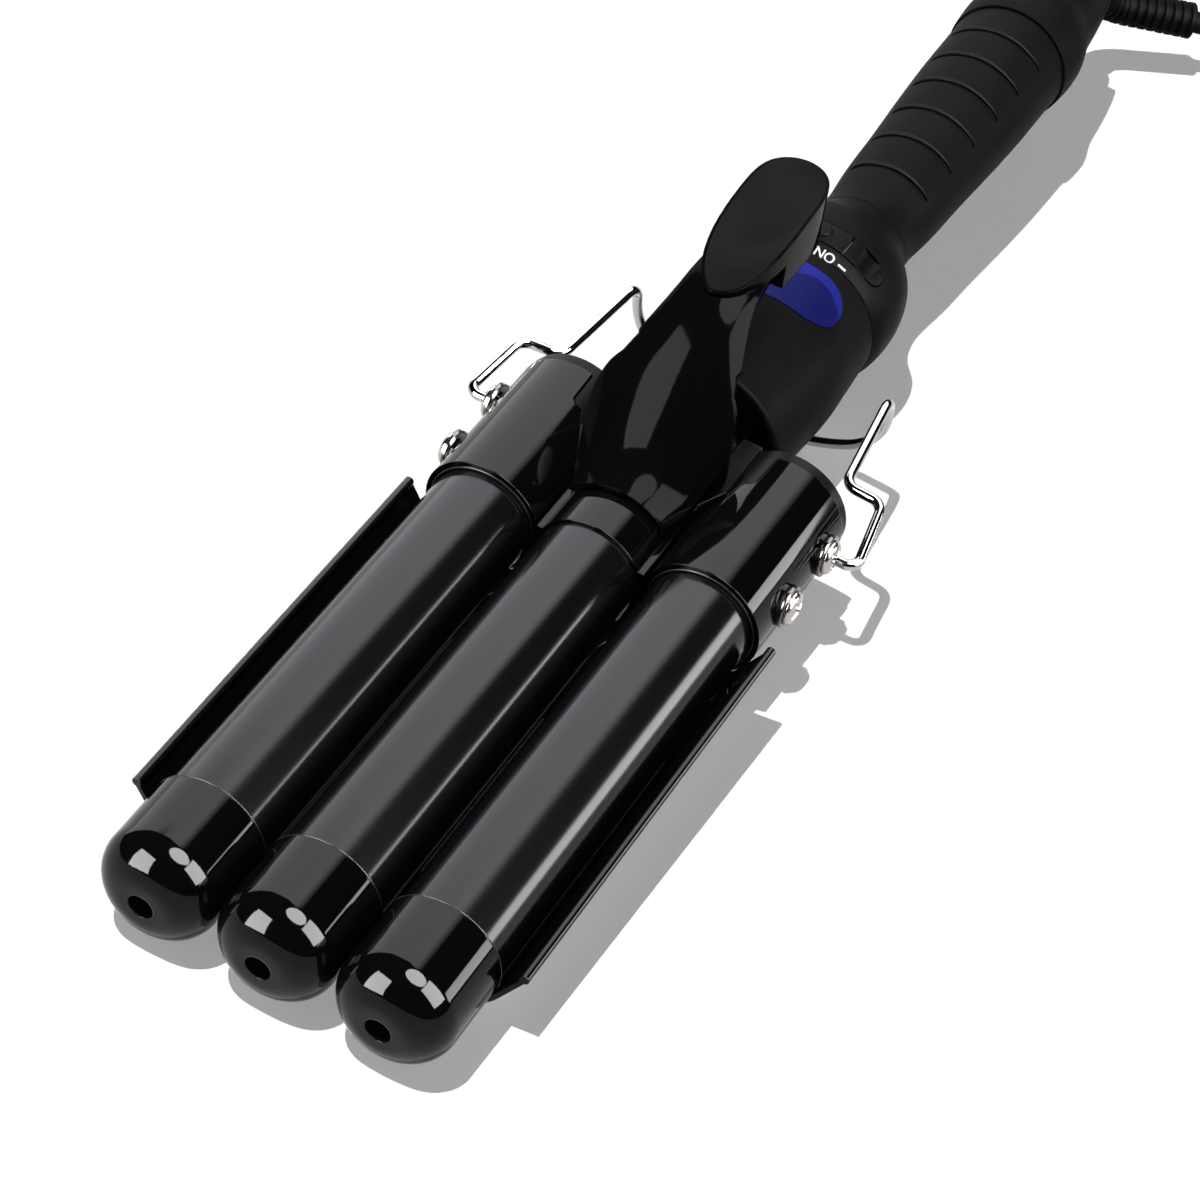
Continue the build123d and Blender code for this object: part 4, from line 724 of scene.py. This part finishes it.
def switch_marks():
    """ON/OFF, minus and plus in white beside the keys, wrapped round the collar."""
    skin = skin_finder("control_collar", "drum_shell")
    shape = bmesh.new()
    for words, place, tall in SWITCH_MARKS:
        text = bpy.data.curves.new("mark", "FONT")
        text.body = words
        text.size = tall / CAPITAL_SHARE
        text.align_x = "CENTER"
        text.offset = MARK_BOLDNESS
        text.resolution_u = 6
        holder = put_in_scene("mark", text)
        bpy.context.view_layer.update()
        seen = holder.evaluated_get(bpy.context.evaluated_depsgraph_get())
        flat = bpy.data.meshes.new_from_object(seen)
        letters = bmesh.new()
        letters.from_mesh(flat)
        bmesh.ops.subdivide_edges(letters, edges=letters.edges, cuts=1)
        bmesh.ops.triangulate(letters, faces=letters.faces)
        middle = CAPITAL_SHARE / 2 * text.size
        for vert in letters.verts:
            y = MARKS_Y - (vert.co.y - middle)
            angle = (place - vert.co.x) / COLLAR_RADIUS
            radius = max(skin(angle, y), LEAST_COLLAR_RADIUS) + MARK_LIFT
            vert.co = (radius * math.sin(angle), y, radius * math.cos(angle))
        joined = bpy.data.meshes.new("mark")
        letters.to_mesh(joined)
        letters.free()
        shape.from_mesh(joined)
        for junk in (joined, flat):
            bpy.data.meshes.remove(junk)
        bpy.data.objects.remove(holder)
    for face in shape.faces:
        face.normal_update()
        middle = face.calc_center_median()
        if face.normal.dot(Vector((middle.x, 0, middle.z))) < 0:
            face.normal_flip()
    mesh = bpy.data.meshes.new("switch_marks")
    shape.to_mesh(mesh)
    shape.free()
    mesh.transform(TOOL)
    mesh.materials.append(FINISHES["mark white"])
    made = put_in_scene("switch_marks", mesh)
    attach(made, "handle")


GROOVE_YS = (149.0, 162.0, 174.5, 187.0, 199.0, 211.5)
RIDGE_PAST_GROOVE = 1.0
RIDGE_FOOT_PAST = 0.4
RIDGE_SINK = 0.12
RIDGE_HALF_TURN = math.radians(50)
RIDGE_THICKNESS = 0.42
RIDGE_END_THICKNESS = 0.02
RIDGE_SPREAD = 1.35
RIDGE_STEPS = 48
RIDGE_SIDES = 8


def grip_ridges():
    """Tapered ridges behind the grip's grooves."""
    skin = skin_finder("grip_shell")
    shape = bmesh.new()
    for groove in GROOVE_YS:
        y = groove + RIDGE_PAST_GROOVE
        rows = []
        for step in range(RIDGE_STEPS + 1):
            share = 2 * step / RIDGE_STEPS - 1
            angle = RIDGE_HALF_TURN * share
            thick = RIDGE_THICKNESS * (1 - share**4) + RIDGE_END_THICKNESS
            radius = skin(angle, y + RIDGE_FOOT_PAST) - RIDGE_SINK
            outward = Vector((math.sin(angle), 0, math.cos(angle)))
            middle = outward * radius + Vector((0, y, 0))
            row = []
            for side in range(RIDGE_SIDES):
                turn = math.tau * side / RIDGE_SIDES
                along = Vector((0, RIDGE_SPREAD * thick * math.sin(turn), 0))
                row.append(shape.verts.new(middle + outward * thick * math.cos(turn) + along))
            rows.append(row)
        for low, high in zip(rows, rows[1:]):
            for side in range(RIDGE_SIDES):
                after = (side + 1) % RIDGE_SIDES
                shape.faces.new((low[side], low[after], high[after], high[side]))
        shape.faces.new(rows[0])
        shape.faces.new(list(reversed(rows[-1])))
    piece("grip_ridges", shape, "ridge plastic", "handle")


MERGE_REACH = 0.000002


def wound_spring():
    """The hinge spring between the handle's leg and the lever's, its doubled corners merged and its faces
    shaded smooth.
    """
    shape = bmesh.new()
    shape.from_mesh(nodes["hinge_spring"].data)
    bmesh.ops.remove_doubles(shape, verts=shape.verts, dist=MERGE_REACH)
    mesh = bpy.data.meshes.new("wound_spring")
    shape.to_mesh(mesh)
    shape.free()
    for face in mesh.polygons:
        face.use_smooth = True
    mesh.materials.append(FINISHES["spring steel"])
    spring = put_in_scene("wound_spring", mesh)
    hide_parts("hinge_spring")
    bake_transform(spring)


sleeve_lips()
grip_ridges()
wound_spring()
cap_beads("upper_jaw", (-1, 1), "outer_cap_beads")
cap_beads("handle", (0,), "middle_cap_bead")
side_fasteners()
switch_marks()

# ------------------------------------------------------------------ floor and lights


FLOOR_HALF = 30.0
FLOOR_GAP = 0.0002
CLOTH_RADIUS = 3.4
CLOTH_HEIGHT = 0.2


def lay_floor():
    """A plain white floor, a hair below the tool's lowest points."""
    corners = [(-FLOOR_HALF, -FLOOR_HALF, 0), (FLOOR_HALF, -FLOOR_HALF, 0)]
    corners += [(FLOOR_HALF, FLOOR_HALF, 0), (-FLOOR_HALF, FLOOR_HALF, 0)]
    mesh = bpy.data.meshes.new("floor")
    mesh.from_pydata(corners, [], [(0, 1, 2, 3)])
    floor = put_in_scene("floor", mesh)
    floor.location.z = -FLOOR_GAP
    made = Finish("floor white", (1.0, 1.0, 1.0), 1.0)
    made.shader.inputs["Specular IOR Level"].default_value = 0.0
    mesh.materials.append(made.done())


def hang_dark_cloth():
    """A dark cloth round the set: the gloss sees it between the lamps, nothing else does."""
    shape = bmesh.new()
    bmesh.ops.create_icosphere(shape, subdivisions=4, radius=CLOTH_RADIUS)
    bmesh.ops.translate(shape, verts=shape.verts, vec=(0, 0, CLOTH_HEIGHT))
    mesh = bpy.data.meshes.new("dark_cloth")
    shape.to_mesh(mesh)
    shape.free()
    cloth = put_in_scene("dark_cloth", mesh)
    made = Finish("dark cloth", (0.0, 0.0, 0.0), 1.0)
    made.shader.inputs["Specular IOR Level"].default_value = 0.0
    mesh.materials.append(made.done())
    cloth.visible_camera = False
    cloth.visible_diffuse = False
    cloth.visible_shadow = False
    cloth.visible_transmission = False


BARRELS = (0, -0.07, 0.03)
CAPS = (0, -0.19, 0.015)
REAR = (-0.427, 0.645, 0.633)
REAR_LEFT = -2.45
REAR_RIGHT = 1.4
REAR_TALL = 1.15
REAR_TINT = (0.965, 0.945, 1.0)
# Places across the rear softbox and the radiance at each.
REAR_LEVELS = (
    (-2.45, 0.0),
    (-2.3, 2.5),
    (-1.5, 2.1),
    (-1.1, 2.2),
    (-0.7, 2.4),
    (-0.3, 2.9),
    (0.0, 3.4),
    (0.8, 4.1),
    (1.0, 4.0),
    (1.38, 0.0),
)
STRIP = (0.738, 0.645, 0.198)
STRIP_RADIANCE = 13.0
SIDE = (0.80, 0.06, 0.58)
FRONT = (-0.53, -0.72, 0.43)
FRONT_UPWARDS = (0.1, 0.5, 0.84)
TOP = (0.28, 0.05, 0.95)
CAP_RADIANCE = 28.0
EVEN_STRENGTH = 0.92
KEY_STRENGTH = 2.3
KEY_DIRECTION = (0.18, 0.15, -1.0)
WORLD_LEVEL = 0.06


def softbox(
    name,
    direction,
    distance,
    size,
    radiance,
    along=(0, 1, 0),
    shift=(0, 0),
    shape="RECTANGLE",
    middle=BARRELS,
):
    """A lamp seen in the gloss alone, facing middle from a direction, its long side laid towards along."""
    lamp = bpy.data.lights.new(name, "AREA")
    lamp.shape = shape
    lamp.size = size[0]
    lamp.size_y = size[1]
    fill = math.pi if shape == "ELLIPSE" else 4
    lamp.energy = fill * size[0] * size[1] * radiance
    holder = put_in_scene(name, lamp)
    back = Vector(direction).normalized()
    tall = (Vector(along) - back * Vector(along).dot(back)).normalized()
    wide = tall.cross(back)
    place = Vector(middle) + back * distance + wide * shift[0] + tall * shift[1]
    turn = Matrix((wide, tall, back)).transposed().to_4x4()
    holder.matrix_world = Matrix.Translation(place) @ turn
    holder.visible_camera = False
    holder.visible_diffuse = False
    return holder


def grade(lamp, levels, left, right, peak):
    """Grades a lamp's light across its width: levels are (place, radiance) from left to right."""
    lamp.use_nodes = True
    tree = lamp.node_tree
    glow = tree.nodes["Emission"]
    where = tree.nodes.new("ShaderNodeNewGeometry")
    apart = tree.nodes.new("ShaderNodeSeparateXYZ")
    curve = tree.nodes.new("ShaderNodeFloatCurve")
    tree.links.new(where.outputs["Parametric"], apart.inputs["Vector"])
    tree.links.new(apart.outputs["X"], curve.inputs["Value"])
    tree.links.new(curve.outputs["Value"], glow.inputs["Strength"])
    line = curve.mapping.curves[0]
    places = [((at - left) / (right - left), level / peak) for at, level in levels]
    line.points[0].location = places[0]
    line.points[1].location = places[-1]
    for place in places[1:-1]:
        line.points.new(*place)
    for point in line.points:
        point.handle_type = "VECTOR"
    curve.mapping.update()


def hang_softboxes():
    """Lamps for the gloss: two behind for the barrels, three for the caps' highlights."""
    width = REAR_RIGHT - REAR_LEFT
    middle = (REAR_LEFT + REAR_RIGHT) / 2
    peak = max(level for place, level in REAR_LEVELS)
    rear = softbox("rear softbox", REAR, 1.5, (width, REAR_TALL), peak, shift=(middle, 0.2))
    grade(rear.data, REAR_LEVELS, REAR_LEFT, REAR_RIGHT, peak)
    rear.data.color = REAR_TINT
    softbox("rear strip", STRIP, 1.56, (0.40, 0.52), STRIP_RADIANCE, shift=(0.08, -0.19))
    softbox("side softbox", SIDE, 1.4, (0.92, 0.95), CAP_RADIANCE, middle=CAPS)
    softbox("front softbox", FRONT, 1.4, (0.82, 1.15), CAP_RADIANCE, along=FRONT_UPWARDS, middle=CAPS)
    softbox("top softbox", TOP, 1.4, (0.92, 0.92), CAP_RADIANCE, shape="ELLIPSE", middle=CAPS)


def hang_suns():
    """An even light that casts no shadow, and the key that casts the tool's."""
    even = bpy.data.lights.new("even light", "SUN")
    even.energy = EVEN_STRENGTH
    even.angle = math.radians(60)
    even.use_shadow = False
    even.cycles.use_multiple_importance_sampling = False
    above = put_in_scene("even light", even)
    above.visible_glossy = False
    key = bpy.data.lights.new("key", "SUN")
    key.energy = KEY_STRENGTH
    key.angle = math.radians(0.5)
    holder = put_in_scene("key", key)
    holder.rotation_mode = "QUATERNION"
    holder.rotation_quaternion = Vector(KEY_DIRECTION).to_track_quat("-Z", "Y")
    holder.visible_glossy = False


def paint_world():
    """A world that is white to the eye, in the gloss and through glass, and lights the tool a little."""
    world = bpy.data.worlds.new("studio")
    bpy.context.scene.world = world
    world.use_nodes = True
    tree = world.node_tree
    backdrop = tree.nodes["Background"]
    backdrop.inputs["Color"].default_value = (1, 1, 1, 1)
    rays = tree.nodes.new("ShaderNodeLightPath")
    either = tree.nodes.new("ShaderNodeMath")
    either.operation = "MAXIMUM"
    tree.links.new(rays.outputs["Is Camera Ray"], either.inputs[0])
    tree.links.new(rays.outputs["Is Glossy Ray"], either.inputs[1])
    any_seen = tree.nodes.new("ShaderNodeMath")
    any_seen.operation = "MAXIMUM"
    tree.links.new(either.outputs[0], any_seen.inputs[0])
    tree.links.new(rays.outputs["Is Transmission Ray"], any_seen.inputs[1])
    level = tree.nodes.new("ShaderNodeMapRange")
    level.inputs["To Min"].default_value = WORLD_LEVEL
    level.inputs["To Max"].default_value = 1.0
    tree.links.new(any_seen.outputs[0], level.inputs["Value"])
    tree.links.new(level.outputs["Result"], backdrop.inputs["Strength"])


lay_floor()
hang_dark_cloth()
hang_softboxes()
hang_suns()
paint_world()
bpy.context.scene.view_settings.view_transform = "Standard"

bpy.context.view_layer.update()
